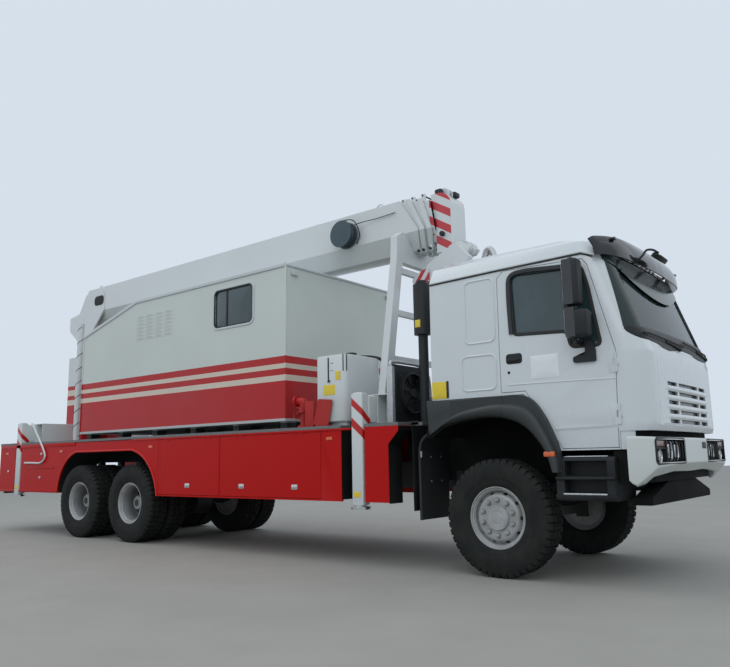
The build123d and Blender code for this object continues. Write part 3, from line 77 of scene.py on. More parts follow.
# Shader expressions
class Wire:
    """A node's output that takes part in Python arithmetic: each operator adds one Math node."""

    def __init__(self, finish, socket):
        self.finish = finish
        self.socket = socket

    def _math(self, operation, *values):
        return self.finish.node("ShaderNodeMath", {"operation": operation}, dict(enumerate(values)))

    def __add__(self, other):
        return self._math("ADD", self, other)

    def __sub__(self, other):
        return self._math("SUBTRACT", self, other)

    def __rsub__(self, other):
        return self._math("SUBTRACT", other, self)

    def __mul__(self, other):
        return self._math("MULTIPLY", self, other)

    def __truediv__(self, other):
        return self._math("DIVIDE", self, other)

    __radd__ = __add__
    __rmul__ = __mul__

    def size(self):
        """The value without its sign."""
        return self._math("ABSOLUTE", self)

    def fraction(self):
        """The part after the decimal point."""
        return self._math("FRACT", self)

    def sine(self):
        """The sine of the value in radians."""
        return self._math("SINE", self)

    def floor(self):
        """The whole part."""
        return self._math("FLOOR", self)

    def most(self, other):
        """The larger of two values."""
        return self._math("MAXIMUM", self, other)

    def least(self, other):
        """The smaller of two values."""
        return self._math("MINIMUM", self, other)

    def over(self, edge, soft=0.001):
        """0 below an edge and 1 above it, with a soft step."""
        return self.finish.node(
            "ShaderNodeMapRange",
            {"interpolation_type": "SMOOTHSTEP"},
            {"Value": self, "From Min": edge - soft, "From Max": edge + soft},
        )

    def between(self, low, high, soft=0.001):
        """1 between two edges and 0 outside them."""
        return self.over(low, soft) * (1 - self.over(high, soft))


class Finish:
    """One procedural material round a Principled shader."""

    def __init__(self, name, **constants):
        self.material = bpy.data.materials.new(name)
        self.material.use_nodes = True
        self.tree = self.material.node_tree
        self.tree.nodes.clear()
        self.shader = self.tree.nodes.new("ShaderNodeBsdfPrincipled")
        out = self.tree.nodes.new("ShaderNodeOutputMaterial")
        self.tree.links.new(self.shader.outputs[0], out.inputs["Surface"])
        for key, value in constants.items():
            self.shader.inputs[key.replace("_", " ").title().replace("Ior", "IOR")].default_value = value
        self.place = self.node("ShaderNodeTexCoord", out="Object")
        parts = self.node("ShaderNodeSeparateXYZ", sockets={"Vector": self.place}).socket.node
        self.x, self.y, self.z = (Wire(self, parts.outputs[axis]) for axis in "XYZ")

    def node(self, kind, settings=None, sockets=None, out=0):
        """Add a node with its settings, then its sockets' values or links."""
        made = self.tree.nodes.new(kind)
        for key, value in (settings or {}).items():
            setattr(made, key, value)
        for key, value in (sockets or {}).items():
            if isinstance(value, Wire):
                self.tree.links.new(value.socket, made.inputs[key])
            else:
                made.inputs[key].default_value = value
        return Wire(self, made.outputs[out])

    def noise(self, scale, detail=4.0, stretch=(1, 1, 1)):
        """Fractal noise from 0 to 1 on the object's own coordinates."""
        place = self.place
        if stretch != (1, 1, 1):
            place = self.node("ShaderNodeVectorMath", {"operation": "MULTIPLY"}, {0: place, 1: stretch})
        return self.node("ShaderNodeTexNoise", None,
                         {"Vector": place, "Scale": scale, "Detail": detail, "Roughness": 0.55})

    def cells(self, scale):
        """Distance to the nearest of scattered points."""
        return self.node("ShaderNodeTexVoronoi", None, {"Vector": self.place, "Scale": scale}, "Distance")

    def upward(self):
        """How far the surface faces up, from -1 to 1."""
        normal = self.node("ShaderNodeNewGeometry", out="Normal")
        parts = self.node("ShaderNodeSeparateXYZ", sockets={"Vector": normal}).socket.node
        return Wire(self, parts.outputs["Z"])

    def mix(self, mask, first, second):
        """The first colour, with the second where the mask is 1."""
        colours = {}
        for key, value in ((6, first), (7, second)):
            colours[key] = value if isinstance(value, Wire) else (*value, 1.0)
        return self.node("ShaderNodeMix", {"data_type": "RGBA"}, {0: mask, **colours}, out=2)

    def feed(self, **sockets):
        """Link varying values to the shader's sockets."""
        for key, value in sockets.items():
            self.tree.links.new(value.socket, self.shader.inputs[key.replace("_", " ").title()])
        return self

    def bump(self, height, distance=0.002, strength=0.6):
        """Raise the surface by a height from 0 to 1 over a distance in metres."""
        made = self.node("ShaderNodeBump", None, {"Height": height, "Distance": distance, "Strength": strength})
        self.tree.links.new(made.socket, self.shader.inputs["Normal"])
        return self


def weathered(finish, colour, rough=0.3, dust=0.25, low=1.6, dust_colour=(0.30, 0.28, 0.24), relief=None,
              stain=(0.20, 0.21, 0.20)):
    """Paint with a slow change of tone, road dust that thickens downwards and on ledges, and a fine orange peel."""
    tone = finish.noise(0.9, 3.0)
    grime = finish.noise(6.0, 6.0, (1, 1, 0.35))
    height = 1 - finish.z.over(low / 2, low / 2)
    shelf = finish.upward().over(0.75, 0.2)
    film = ((height * 0.8 + shelf * 0.35) * grime.over(0.5, 0.28) * dust).least(0.8)
    shade = finish.mix(tone.over(0.5, 0.25) * 0.08, colour, stain)
    finish.feed(base_color=finish.mix(film, shade, dust_colour))
    finish.feed(roughness=rough + film * 0.5 + (grime - 0.5) * 0.08)
    if relief is None:
        return finish.bump(finish.noise(420.0, 2.0), 0.0004, 0.25)
    return finish.bump(*relief)


def bands(finish, base, height, edges, red, cream):
    """A base colour above painted bands: red, cream, red, cream and solid red downwards, split at five heights."""
    colour = base
    for number, edge in enumerate(edges):
        colour = finish.mix(1 - height.over(edge, 0.0012), colour, (red, cream)[number % 2])
    return colour


def stripes(finish, base, along, width, mask):
    """Slanting red stripes of one width over a base colour inside a mask."""
    return finish.mix((along / width).fraction().between(0.5, 0.998, 0.012) * mask, base, (0.52, 0.018, 0.03))


RED = (0.50, 0.004, 0.003)
BAND_RED = (0.46, 0.010, 0.012)
CREAM = (0.66, 0.57, 0.47)
WHITE = (0.66, 0.70, 0.71)
CABIN_WHITE = (0.60, 0.645, 0.60)
CRANE_WHITE = (0.64, 0.675, 0.67)
# Near black for painted shade in the front panel's slots
SHADE_BLACK = (0.006, 0.007, 0.008)
made = {}


def paint(name, **constants):
    """A finish kept by name."""
    made[name] = Finish(name, **constants)
    return made[name]


def painted_shade(finish):
    """The mesh's own mark of painted shade in its slots, vents, grooves, deep dishes and washers, from 0 to 1."""
    return finish.node("ShaderNodeAttribute", {"attribute_name": "painted_shade"}, out="Fac")


def moulded_grain(finish):
    """Relief of moulded plastic."""
    return finish.noise(700.0, 3.0), 0.0006, 0.5


# Columns: name, shader's constants, colour, roughness, share of dust, height where it ends, colour of the dust if it
# isn't the road's
PLAIN_PAINTS = (
    ("bumper_paint", {"specular_ior_level": 0.4}, (0.66, 0.69, 0.67), 0.36, 0.35, 1.5),
    ("roof_paint", {}, (0.56, 0.60, 0.60), 0.38, 0.12, 1.0),
    ("crane_paint", {"coat_weight": 0.3}, CRANE_WHITE, 0.30, 0.12, 1.2),
    ("valve_paint", {"specular_ior_level": 0.25}, (0.44, 0.008, 0.006), 0.34, 0.25, 2.2),
    ("chassis_paint", {}, (0.014, 0.015, 0.015), 0.5, 0.35, 1.4, (0.07, 0.065, 0.055)),
    ("engine_iron", {"metallic": 0.4}, (0.035, 0.035, 0.035), 0.6, 0.5, 1.2),
    # Near black for sheets of painted shade, and for the under-run beam
    ("black_parts_and_shade", {"specular_ior_level": 0.1}, (0.006, 0.006, 0.006), 0.8, 0.3, 1.2, (0.016, 0.015, 0.012)),
    ("visor_plastic", {"coat_weight": 0.3, "specular_ior_level": 0.4}, (0.008, 0.009, 0.010), 0.16, 0.2, 0.1,
     (0.04, 0.04, 0.04)),
)
for name, constants, *look in PLAIN_PAINTS:
    weathered(paint(name, **constants), *look)
for name, level, *look in (
    ("moulding", 0.3, (0.013, 0.015, 0.016), 0.46, 0.22, 1.9, (0.06, 0.058, 0.05)),
    ("step_plastic", 0.25, (0.006, 0.008, 0.009), 0.50, 0.3, 1.6, (0.035, 0.033, 0.028)),
):
    f = paint(name, specular_ior_level=level)
    weathered(f, *look, moulded_grain(f))

f = paint("flare_plastic", specular_ior_level=0.4)
seam = f.x.between(4.442, 4.449, 0.0008)
weathered(f, f.mix(seam, (0.026, 0.031, 0.032), (0.004, 0.004, 0.004)), 0.46, 0.25, 1.9, (0.08, 0.076, 0.065),
          moulded_grain(f))

f = paint("cab_paint", coat_weight=0.4, coat_roughness=0.12)
side_screen = f.y.size().over(1.156, 0.001) * f.z.over(2.12, 0.004)
weathered(f, f.mix(side_screen, WHITE, (0.018, 0.020, 0.021)), 0.26, 0.20, 1.9)

# Front panel white, with painted shade near black in its slots
f = paint("panel_paint", coat_weight=0.4, coat_roughness=0.12)
weathered(f, f.mix(painted_shade(f), WHITE, SHADE_BLACK), 0.28, 0.20, 1.9)

f = paint("cabin_paint", specular_ior_level=0.3)
weathered(f, bands(f, CABIN_WHITE, f.z, (2.444, 2.350, 2.288, 2.206, 2.131), BAND_RED, CREAM), 0.30, 0.10, 2.4)

f = paint("column_paint", specular_ior_level=0.3)
weathered(f, bands(f, CRANE_WHITE, f.z, (2.590, 2.516, 2.407, 2.330, 2.230), BAND_RED, CREAM), 0.34, 0.12, 2.2)

f = paint("head_paint", coat_weight=0.3)
mark = f.x.between(3.02, 3.30, 0.003) * f.y.size().over(0.152, 0.001) * f.z.over(3.67, 0.002)
weathered(f, stripes(f, CRANE_WHITE, f.z + f.x * 0.62, 0.215, mark), 0.30, 0.12, 1.2)

f = paint("arm_paint")
weathered(f, stripes(f, CRANE_WHITE, f.x - f.z * 0.75, 0.13, f.x.over(2.7, 0.002)), 0.34, 0.2, 1.2)

# Two slanting stripes on each outrigger leg: its outer edge stands at one of four lengths, picked by the signs of x
# and y
f = paint("leg_paint", specular_ior_level=0.35)
leg_edge = -5.2735 + f.x.over(0.0) * 7.835 + f.y.over(0.0) * 0.213
slope = f.z + (f.x - leg_edge + 1.25 - f.y.size()) * 0.82
mark = slope.between(1.751, 1.837, 0.003).most(slope.between(1.515, 1.615, 0.003)) * f.y.size().over(1.118, 0.002)
weathered(f, f.mix(mark, CRANE_WHITE, (0.50, 0.008, 0.006)), 0.32, 0.18, 1.2)

f = paint("skirt_paint", specular_ior_level=0.16)
seam = (f.x + 3.70).size().between(-1, 0.002, 0.0008).most((f.x + 0.99).size().between(-1, 0.002, 0.0008))
weathered(f, f.mix(seam * 0.8, RED, (0.05, 0.004, 0.004)), 0.30, 0.07, 1.5, (0.22, 0.06, 0.04),
          stain=(0.30, 0.006, 0.005))

# Arch lips in a lighter red than the skirt: a painted highlight along the rounded lip
f = paint("arch_lip_highlight_red", specular_ior_level=0.25)
weathered(f, (0.60, 0.014, 0.010), 0.30, 0.1, 1.2, stain=(0.40, 0.01, 0.01))

f = paint("deck_paint", metallic=0.3)
tread = f.noise(55.0, 2.0, (1, 2.2, 1))
weathered(f, f.mix(tread.over(0.55, 0.1) * 0.35, (0.16, 0.16, 0.155), (0.30, 0.30, 0.29)), 0.5, 0.4, 0.2,
          relief=(tread, 0.002, 0.4))

f = paint("cabin_trim_metal", metallic=0.2)
weathered(f, f.mix(1 - f.z.over(1.612, 0.002), (0.46, 0.48, 0.47), (0.018, 0.019, 0.019)), 0.4, 0.25, 1.8)

f = paint("reel_paint")
turns = (f.y * 420).sine()
weathered(f, f.mix(turns.over(0.0, 0.8) * 0.5, (0.040, 0.070, 0.085), (0.016, 0.028, 0.034)), 0.42, 0.1, 0.2,
          relief=(turns, 0.003, 0.6))

# Columns: name, roughness, scale of its tone, dark and light colour, relief's noise, depth and strength
for name, rough, scale, dark, light, relief, depth, strength in (
    ("seal_rubber", 0.75, 30.0, (0.012, 0.012, 0.012), (0.035, 0.035, 0.034), (500.0,), 0.0005, 0.4),
    ("hose_rubber", 0.5, 40.0, (0.010, 0.010, 0.011), (0.030, 0.030, 0.032), (300.0, 2.0, (1, 1, 6)), 0.0006, 0.5),
):
    f = paint(name, roughness=rough)
    f.feed(base_color=f.mix(f.noise(scale), dark, light))
    f.bump(f.noise(*relief), depth, strength)

# Columns: name, shader's constants, noise, two colours that it mixes, roughness and how far the noise raises it
for name, constants, noise, dark, light, rough, spread in (
    ("screen_tint_and_shade", {"specular_ior_level": 0.3}, (2.0, 3.0), (0.022, 0.034, 0.032), (0.040, 0.056, 0.053), 0.10, 0.08),
    ("bright_metal", {"metallic": 1.0}, (18.0, 5.0), (0.42, 0.43, 0.44), (0.80, 0.81, 0.81), 0.14, 0.25),
    ("ram_metal", {"metallic": 1.0}, (25.0, 4.0, (1, 1, 0.2)), (0.50, 0.50, 0.51), (0.82, 0.82, 0.83), 0.10, 0.2),
    ("blank_white", {}, (30.0, 5.0), (0.82, 0.84, 0.85), (0.74, 0.77, 0.78), 0.3, 0.2),
):
    f = paint(name, **constants)
    smear = f.noise(*noise)
    f.feed(base_color=f.mix(smear, dark, light), roughness=rough + smear * spread)

# Ribbed lenses: lighter on the ribs' crests and darker between them, painted highlight and shade
# Columns: name, roughness, coat, axis across the ribs, ribs' turn per metre, dark and light colour, depth, strength
for name, rough, coat, axis, turn, dark, light, depth, strength in (
    ("lens_brown", 0.2, 0.5, "y", 500, (0.10, 0.035, 0.025), (0.20, 0.075, 0.055), 0.001, 0.4),
    ("lamp_glass", 0.08, 0.8, "y", 420, (0.22, 0.23, 0.24), (0.60, 0.62, 0.63), 0.002, 0.5),
    ("amber_lens", 0.15, 0.7, "x", 500, (0.55, 0.07, 0.012), (0.82, 0.16, 0.03), 0.001, 0.4),
    ("red_lens", 0.15, 0.7, "y", 300, (0.35, 0.005, 0.005), (0.62, 0.02, 0.015), 0.001, 0.4),
):
    f = paint(name, roughness=rough, coat_weight=coat)
    rib = (getattr(f, axis) * turn).sine()
    f.feed(base_color=f.mix(rib.over(0.0, 0.9), dark, light))
    f.bump(rib, depth, strength)

f = paint("tinted_glass", coat_weight=0.6)
streak = f.noise(3.0, 3.0, (1, 1, 0.5))
f.feed(base_color=f.mix(streak.over(0.5, 0.3), (0.020, 0.042, 0.046), (0.040, 0.072, 0.078)))
f.feed(roughness=0.05 + streak * 0.06)

f = paint("screen_glass", roughness=0.03, specular_ior_level=0.3)
haze = f.noise(2.5, 3.0)
f.feed(base_color=f.mix(haze, (0.020, 0.036, 0.034), (0.050, 0.075, 0.070)), alpha=0.74 + haze * 0.12)

f = paint("galvanised", metallic=0.8)
spangle = f.cells(60.0)
f.feed(base_color=f.mix(spangle.over(0.4, 0.35), (0.42, 0.44, 0.45), (0.62, 0.63, 0.63)))
f.feed(roughness=0.38 + spangle * 0.25)

f = paint("yellow_plate")
wear = f.noise(40.0, 5.0)
f.feed(base_color=f.mix(wear.over(0.55, 0.2) * 0.5, (0.80, 0.60, 0.03), (0.62, 0.48, 0.10)))
f.feed(roughness=0.3 + wear * 0.25)

f = paint("rim_metal", metallic=0.35)
smear, soil = f.noise(14.0, 5.0), f.noise(4.0, 5.0)
tone = f.mix(smear, (0.34, 0.355, 0.355), (0.52, 0.53, 0.53))
tone = f.mix(soil.over(0.55, 0.2) * 0.55, tone, (0.24, 0.22, 0.19))
# Painted shade, near black, in the vents, in the deep dish and on the washers, from the mesh's mark
f.feed(base_color=f.mix(painted_shade(f), tone, (0.015, 0.015, 0.015)), roughness=0.38 + soil * 0.25)
f.bump(smear, 0.0008, 0.3)

f = paint("tyre_rubber", specular_ior_level=0.2)
soil, grain = f.noise(9.0, 6.0), f.noise(120.0, 3.0)
tone = f.mix(grain, (0.009, 0.0105, 0.0105), (0.022, 0.024, 0.0235))
tone = f.mix(soil.over(0.52, 0.2) * 0.35, tone, (0.050, 0.046, 0.038))
# Painted shade in the tread grooves, from the mesh's mark
f.feed(base_color=f.mix(painted_shade(f) * 0.6, tone, (0.008, 0.008, 0.008)), roughness=0.70 + soil * 0.2)
f.bump(grain, 0.0012, 0.35)

# Heat shield with rows of round holes, each row half a step round from the last; the holes are painted near black, as
# painted shade inside them
f = paint("shield_black", roughness=0.5, metallic=0.4)
angle = f.node("ShaderNodeMath", {"operation": "ARCTAN2"}, {0: f.y + 0.8, 1: f.x - 3.27})
row = f.z * 55
column = angle * 10.2 + row.floor() * 0.5
dot_x, dot_z = column.fraction() - 0.5, row.fraction() - 0.5
dots = 1 - (dot_x * dot_x + dot_z * dot_z).over(0.085, 0.02)
f.feed(base_color=f.mix(dots, (0.040, 0.043, 0.045), (0.004, 0.004, 0.004)))
f.bump(1 - dots, 0.003, 0.8)

# Cooler core: light on the fins' crests and near black between them, painted highlight and shade
f = paint("core_fins", roughness=0.5, metallic=0.5)
fin = (f.z * 900).sine()
f.feed(base_color=f.mix(fin.over(0.0, 0.7), (0.010, 0.010, 0.011), (0.05, 0.052, 0.054)))
f.bump(fin, 0.002, 0.8)

f = paint("interior_cloth", roughness=0.8)
weave = (f.z * 2200).sine() * (f.x * 2200).sine()
f.feed(base_color=f.mix(f.noise(20.0), (0.05, 0.05, 0.055), (0.10, 0.10, 0.105)))
f.bump(weave, 0.001, 0.5)


# Surfaces: each shape is points on a grid and the faces that join them
def join_grid(across, along, wrap_across=False, wrap_along=False):
    """Quads that join neighbouring points of a grid, wrapped round where it closes."""
    u, v = np.meshgrid(
        np.arange(across if wrap_across else across - 1), np.arange(along if wrap_along else along - 1), indexing="ij"
    )
    u, v = u.ravel(), v.ravel()
    next_u, next_v = (u + 1) % across, (v + 1) % along
    return np.stack([u * along + v, next_u * along + v, next_u * along + next_v, u * along + next_v], axis=1)


def surface(points, wrap_across=False, wrap_along=False):
    """Shape from a grid of points: the points in one list and the quads that join them."""
    return points.reshape(-1, 3), join_grid(*points.shape[:2], wrap_across, wrap_along)


def turned(profile, centre, axis="y", side=1, steps=48, closed=False):
    """Profile of (distance, radius) turned about an axis: point = centre + side * distance + radius * (cos, sin)."""
    profile = np.array(profile, float)
    angle = np.linspace(0, 2 * np.pi, steps, endpoint=False)[:, None]
    along = np.broadcast_to(side * profile[:, 0], (steps, len(profile)))
    first, second = np.cos(angle) * profile[:, 1], np.sin(angle) * profile[:, 1]
    order = {"x": (along, first, second), "y": (first, along, second), "z": (first, second, along)}[axis]
    points = np.stack(order, axis=-1) + np.array(centre, float)
    return surface(points, True, closed)


def corner_loop(width, height, radius, steps=5):
    """Closed loop round a rectangle whose corners are quarter circles of one radius."""
    radius = max(radius, 1e-5)
    angle = np.linspace(0, np.pi / 2, steps)
    centre = np.array([[1, 1], [-1, 1], [-1, -1], [1, -1]]) * np.array([width / 2 - radius, height / 2 - radius])
    turn = angle[None, :] + np.arange(4)[:, None] * np.pi / 2
    loop = centre[:, None, :] + radius * np.stack([np.cos(turn), np.sin(turn)], axis=-1)
    return loop.reshape(-1, 2)


def slab(low, high, radius, axis="z", edge=None):
    """Box with rounded upright corners and eased ends: rounded loops stacked along an axis, closed at both ends."""
    low, high = np.minimum(low, high), np.maximum(low, high)
    middle, size = (low + high) / 2, high - low
    first, second, along = {"x": (1, 2, 0), "y": (2, 0, 1), "z": (0, 1, 2)}[axis]
    edge = min(radius, size[along] / 2) * 0.5 if edge is None else edge
    turn = np.linspace(0, np.pi / 2, 4)
    cuts, rise = edge * (1 - np.sin(turn)), edge * (1 - np.cos(turn))
    loops = [corner_loop(size[first] - 2 * cut, size[second] - 2 * cut, radius - cut) for cut in (*cuts, *cuts[::-1])]
    end = np.zeros_like(loops[0])
    loops = np.stack([end, *loops, end])
    place = np.concatenate([[0], rise, size[along] - rise[::-1], [size[along]]]) + low[along]
    points = np.empty((*loops.shape[:2], 3))
    points[..., first] = loops[..., 0] + middle[first]
    points[..., second] = loops[..., 1] + middle[second]
    points[..., along] = place[:, None]
    return surface(points, False, True)


def carried(path, section, up=(0, 0, 1), ring=False):
    """Section loop carried along a path: point = path + section_1 * side + section_2 * over, square to the path."""
    path, section = np.array(path, float), np.array(section, float)
    step = np.roll(path, -1, 0) - np.roll(path, 1, 0) if ring else np.gradient(path, axis=0)
    ahead = step / np.linalg.norm(step, axis=1, keepdims=True)
    side = np.cross(ahead, np.array(up, float))
    side /= np.linalg.norm(side, axis=1, keepdims=True)
    over = np.cross(side, ahead)
    points = path[:, None, :] + section[None, :, :1] * side[:, None, :] + section[None, :, 1:] * over[:, None, :]
    if not ring:
        ends = [np.repeat(path[[end]][:, None, :], len(section), axis=1) for end in (0, -1)]
        points = np.concatenate([ends[0], points, ends[1]])
    return surface(points, ring, True)


def lofted(sections):
    """Skin through equal section loops: point = section(u) at v, with each end drawn in to its middle."""
    points = np.array(sections, float)
    ends = [np.broadcast_to(points[[end]].mean(1, keepdims=True), points[[end]].shape) for end in (0, -1)]
    return surface(np.concatenate([ends[0], points, ends[1]]), False, True)


def evenly(points, count):
    """Points at equal steps along a line of any dimension."""
    points = np.array(points, float)
    length = np.concatenate([[0], np.cumsum(np.linalg.norm(np.diff(points, axis=0), axis=1))])
    place = np.linspace(0, length[-1], count)
    return np.stack([np.interp(place, length, column) for column in points.T], axis=1)


def round_bar(radius, steps=12):
    """Circle for a bar's or a hose's section."""
    angle = np.linspace(0, 2 * np.pi, steps, endpoint=False)
    return radius * np.stack([np.cos(angle), np.sin(angle)], axis=1)


def smooth_path(points, steps=8):
    """Curve through points: each run is a cubic whose slopes are half the step between its neighbours."""
    points = np.array(points, float)
    before = np.vstack([2 * points[0] - points[1], points[:-1]])
    after = np.vstack([points[1:], 2 * points[-1] - points[-2]])
    slope = (after - before) / 2
    t = np.linspace(0, 1, steps, endpoint=False)[None, :, None]
    a, b, sa, sb = points[:-1, None], points[1:, None], slope[:-1, None], slope[1:, None]
    curve = (2 * t**3 - 3 * t**2 + 1) * a + (3 * t**2 - 2 * t**3) * b
    curve += (t**3 - 2 * t**2 + t) * sa + (t**3 - t**2) * sb
    return np.vstack([curve.reshape(-1, points.shape[1]), points[-1]])


def tube(points, radius, sides=8, up=(0, 0, 1), steps=6):
    """Round bar or hose along the smooth curve through points."""
    return carried(smooth_path(points, steps), round_bar(radius, sides), up)


def flat_loop(loop, plane, level):
    """Two-number loop laid in a plane at a level: x with z at a fixed y, or y with z at a fixed x."""
    loop = np.array(loop, float)
    fixed = np.full(len(loop), float(level))
    return np.stack({"y": (loop[:, 0], fixed, loop[:, 1]), "x": (fixed, loop[:, 0], loop[:, 1])}[plane], axis=1)


def rounded_outline(points, radius, steps=5):
    """Outline with its corners rounded: a quadratic bend between points one radius along each of a corner's edges."""
    points = np.array(points, float)
    runs = np.stack([np.roll(points, 1, 0), np.roll(points, -1, 0)]) - points
    start, end = (points + runs * (radius / np.linalg.norm(runs, axis=2, keepdims=True)).clip(max=0.5))[:, :, None]
    t = np.linspace(0, 1, steps)[None, :, None]
    return ((1 - t) ** 2 * start + 2 * t * (1 - t) * points[:, None] + t**2 * end).reshape(-1, points.shape[1])


def sheet_between(outline, plane, low, high):
    """Flat plate: an outline repeated at two levels and closed with a fan at each."""
    centre = np.array(outline, float).mean(0)
    inner = np.broadcast_to(centre, (len(outline), 2))
    rings = [flat_loop(inner, plane, low), flat_loop(outline, plane, low), flat_loop(outline, plane, high),
             flat_loop(inner, plane, high)]
    return surface(np.stack(rings), False, True)


def piece(name, body, finish, slot, *shapes, smooth=35, painted_shade=None, replaced=()):
    """One object from several shapes: points merged, normals outward, edges sharp above an angle, riding a body."""
    counts = np.cumsum([0] + [len(points) for points, _ in shapes])
    points = np.concatenate([points for points, _ in shapes])
    faces = np.concatenate([faces + start for (_, faces), start in zip(shapes, counts)])
    mesh = bpy.data.meshes.new(name)
    mesh.from_pydata(points.tolist(), [], faces.tolist())
    if painted_shade is not None:
        layer = mesh.attributes.new("painted_shade", "FLOAT", "POINT")
        layer.data.foreach_set("value", np.asarray(painted_shade, np.float32))
    work = bmesh.new()
    work.from_mesh(mesh)
    bmesh.ops.remove_doubles(work, verts=work.verts, dist=2e-5)
    bmesh.ops.dissolve_degenerate(work, edges=work.edges, dist=1e-6)
    bmesh.ops.recalc_face_normals(work, faces=work.faces)
    work.to_mesh(mesh)
    work.free()
    return dress(name, mesh, body, finish, smooth, replaced)


def dress(name, mesh, body, finish, smooth, replaced):
    """Object for a finished mesh: shaded, painted, riding its body, standing for the nodes it replaces."""
    mesh.polygons.foreach_set("use_smooth", np.ones(len(mesh.polygons), bool))
    mesh.set_sharp_from_angle(angle=math.radians(smooth))
    mesh.materials.clear()
    mesh.materials.append(made[finish].material)
    item = bpy.data.objects.new(name, mesh)
    bpy.context.scene.collection.objects.link(item)
    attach(item, body)
    if replaced:
        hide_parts(*replaced)
    return item


def eased(node, finish, width):
    """Copy of a CAD node with its loose triangles merged, flat faces joined and its sharp edges eased."""
    source = frame["nodes"][node]
    mesh = source.data.copy()
    work = bmesh.new()
    work.from_mesh(mesh)
    bmesh.ops.remove_doubles(work, verts=work.verts, dist=2e-5)
    bmesh.ops.dissolve_limit(
        work, angle_limit=math.radians(0.6), verts=work.verts, edges=work.edges, use_dissolve_boundaries=False
    )
    work.to_mesh(mesh)
    work.free()
    body = next(name for name, nodes in frame["record"]["behaviour"]["bodies"].items() if node in nodes)
    item = dress(f"{node}_body", mesh, body, finish, 35, (node,))
    ease = item.modifiers.new("ease", "BEVEL")
    ease.width, ease.segments, ease.limit_method, ease.angle_limit = width, 2, "ANGLE", math.radians(38)
    ease.harden_normals = False


# Finishes of the CAD nodes. Columns: finish, nodes
NODE_FINISHES = (
    ("chassis_paint", ("frame", "axles", "knuckle_right", "knuckle_left")),
    ("engine_iron", ("engine",)),
    ("deck_paint", ("deck",)),
    ("skirt_paint", ("skirt_right", "skirt_left")),
    ("skirt_paint", tuple(f"locker_door_{word}_{n}" for _, word in SIDES for n in (1, 2))),
    ("crane_paint", ("outrigger_housings", "boom", "boom_section_2", "boom_section_3", "boom_rest", "lift_barrel")),
    ("head_paint", ("boom_section_4",)),
    ("column_paint", ("column",)),
    ("ram_metal", ("lift_rod", *(f"jack_{place}_{word}" for _, word in SIDES for place in ("front", "rear")))),
    ("crane_paint", ("oil_tank",)),
    ("moulding", ("deck_fittings",)),
    ("shield_black", ("exhaust",)),
    ("cabin_paint", ("cabin_sides", "cabin_ends", "cabin_door")),
    ("roof_paint", ("cabin_roof",)),
    ("cabin_trim_metal", ("cabin_floor",)),
    ("tinted_glass", ("door_glass_right", "door_glass_left")),
    ("screen_glass", ("fixed_glass",)),
    ("cab_paint", ("cab_shell", "front_panel", "door_right", "door_left")),
    ("bumper_paint", ("bumper",)),
    ("lamp_glass", ("lamps",)),
    ("moulding", ("cab_trim",)),
    ("interior_cloth", ("cab_interior",)),
)
for finish, nodes in NODE_FINISHES:
    for node in nodes:
        data = frame["nodes"][node].data
        data.materials.clear()
        data.materials.append(made[finish].material)
# CAD nodes whose sharp edges are eased. Columns: node, finish, width of the eased edge
for node, finish, width in (
    ("cab_shell", "cab_paint", 0.006), ("door_right", "cab_paint", 0.003), ("door_left", "cab_paint", 0.003),
    ("column", "column_paint", 0.006), ("boom", "crane_paint", 0.006), ("boom_section_4", "head_paint", 0.005),
    ("outrigger_housings", "crane_paint", 0.005), ("cabin_floor", "cabin_trim_metal", 0.003),
    ("skirt_right", "skirt_paint", 0.003), ("skirt_left", "skirt_paint", 0.003), ("deck", "deck_paint", 0.003),
):
    eased(node, finish, width)

# Tyres with their tread, rims with vents and nuts
LUGS, GROOVE = 46, 0.016
TYRE_R = 0.5625
VENTS, NUTS, NUT_CIRCLE, NUT_SIZE = 10, 10, 0.1675, 0.0175
# Columns: distance from the tyre's middle, radius, share of the groove depth, how far the zigzag moves it
TREAD = (
    (0.118, 0.290, 0, 0), (0.128, 0.297, 0, 0), (0.139, 0.318, 0, 0), (0.142, 0.322, 0, 0), (0.1455, 0.335, 0, 0),
    (0.1540, 0.385, 0, 0), (0.1555, 0.388, 0, 0), (0.1562, 0.392, 0, 0), (0.1565, 0.430, 0, 0),
    (0.1530, 0.478, 0, 0), (0.1500, 0.492, 0, 0), (0.1455, 0.512, 0.1, 0), (0.1390, 0.535, 0.7, 0),
    (0.1310, 0.5535, 1, 0), (0.1210, 0.5600, 1, 0), (0.1120, 0.5625, 1, 0), (0.0840, 0.5625, 1, 0.6),
    (0.0800, 0.5625, 2, 1), (0.0640, 0.5625, 2, 1), (0.0600, 0.5625, 3, 1), (0.0260, 0.5625, 3, 1),
    (0.0220, 0.5625, 2, 1), (0.0100, 0.5625, 2, 1), (0.0060, 0.5625, 3, 0.6),
)


def tyre(x, y):
    """Tyre: radius = section radius - depth * groove(angle, place across); the middle grooves zigzag with the angle."""
    half = np.array(TREAD)
    across = np.concatenate([half, half[::-1] * (-1, 1, 1, 1)])
    cuts = np.array([0, 0.03, 0.25, 0.28, 0.5, 0.53, 0.75, 0.78])
    share = (np.arange(LUGS)[:, None] + cuts[None, :]).reshape(-1, 1)
    part = share % 1.0
    late = across[:, 0] < 0
    groove = ((part > 0.02) & (part < 0.26)) & ~late | ((part > 0.52) & (part < 0.76)) & late
    narrow = (part > 0.52) & (part < 0.54)
    kind = across[:, 2]
    cut = np.where(kind <= 1, kind * groove, np.where(kind == 2, 1.0, 0.7 * narrow))
    zigzag = 0.013 * (2 * np.abs(2 * part - 1) - 1) * across[:, 3]
    radius = across[:, 1] - GROOVE * cut
    angle = share / LUGS * 2 * np.pi
    spot = np.stack([x + radius * np.cos(angle), y + across[:, 0] + zigzag, TYRE_R + radius * np.sin(angle)], axis=-1)
    # The groove share also marks the painted shade in the grooves
    return surface(spot, True, True), cut.ravel()


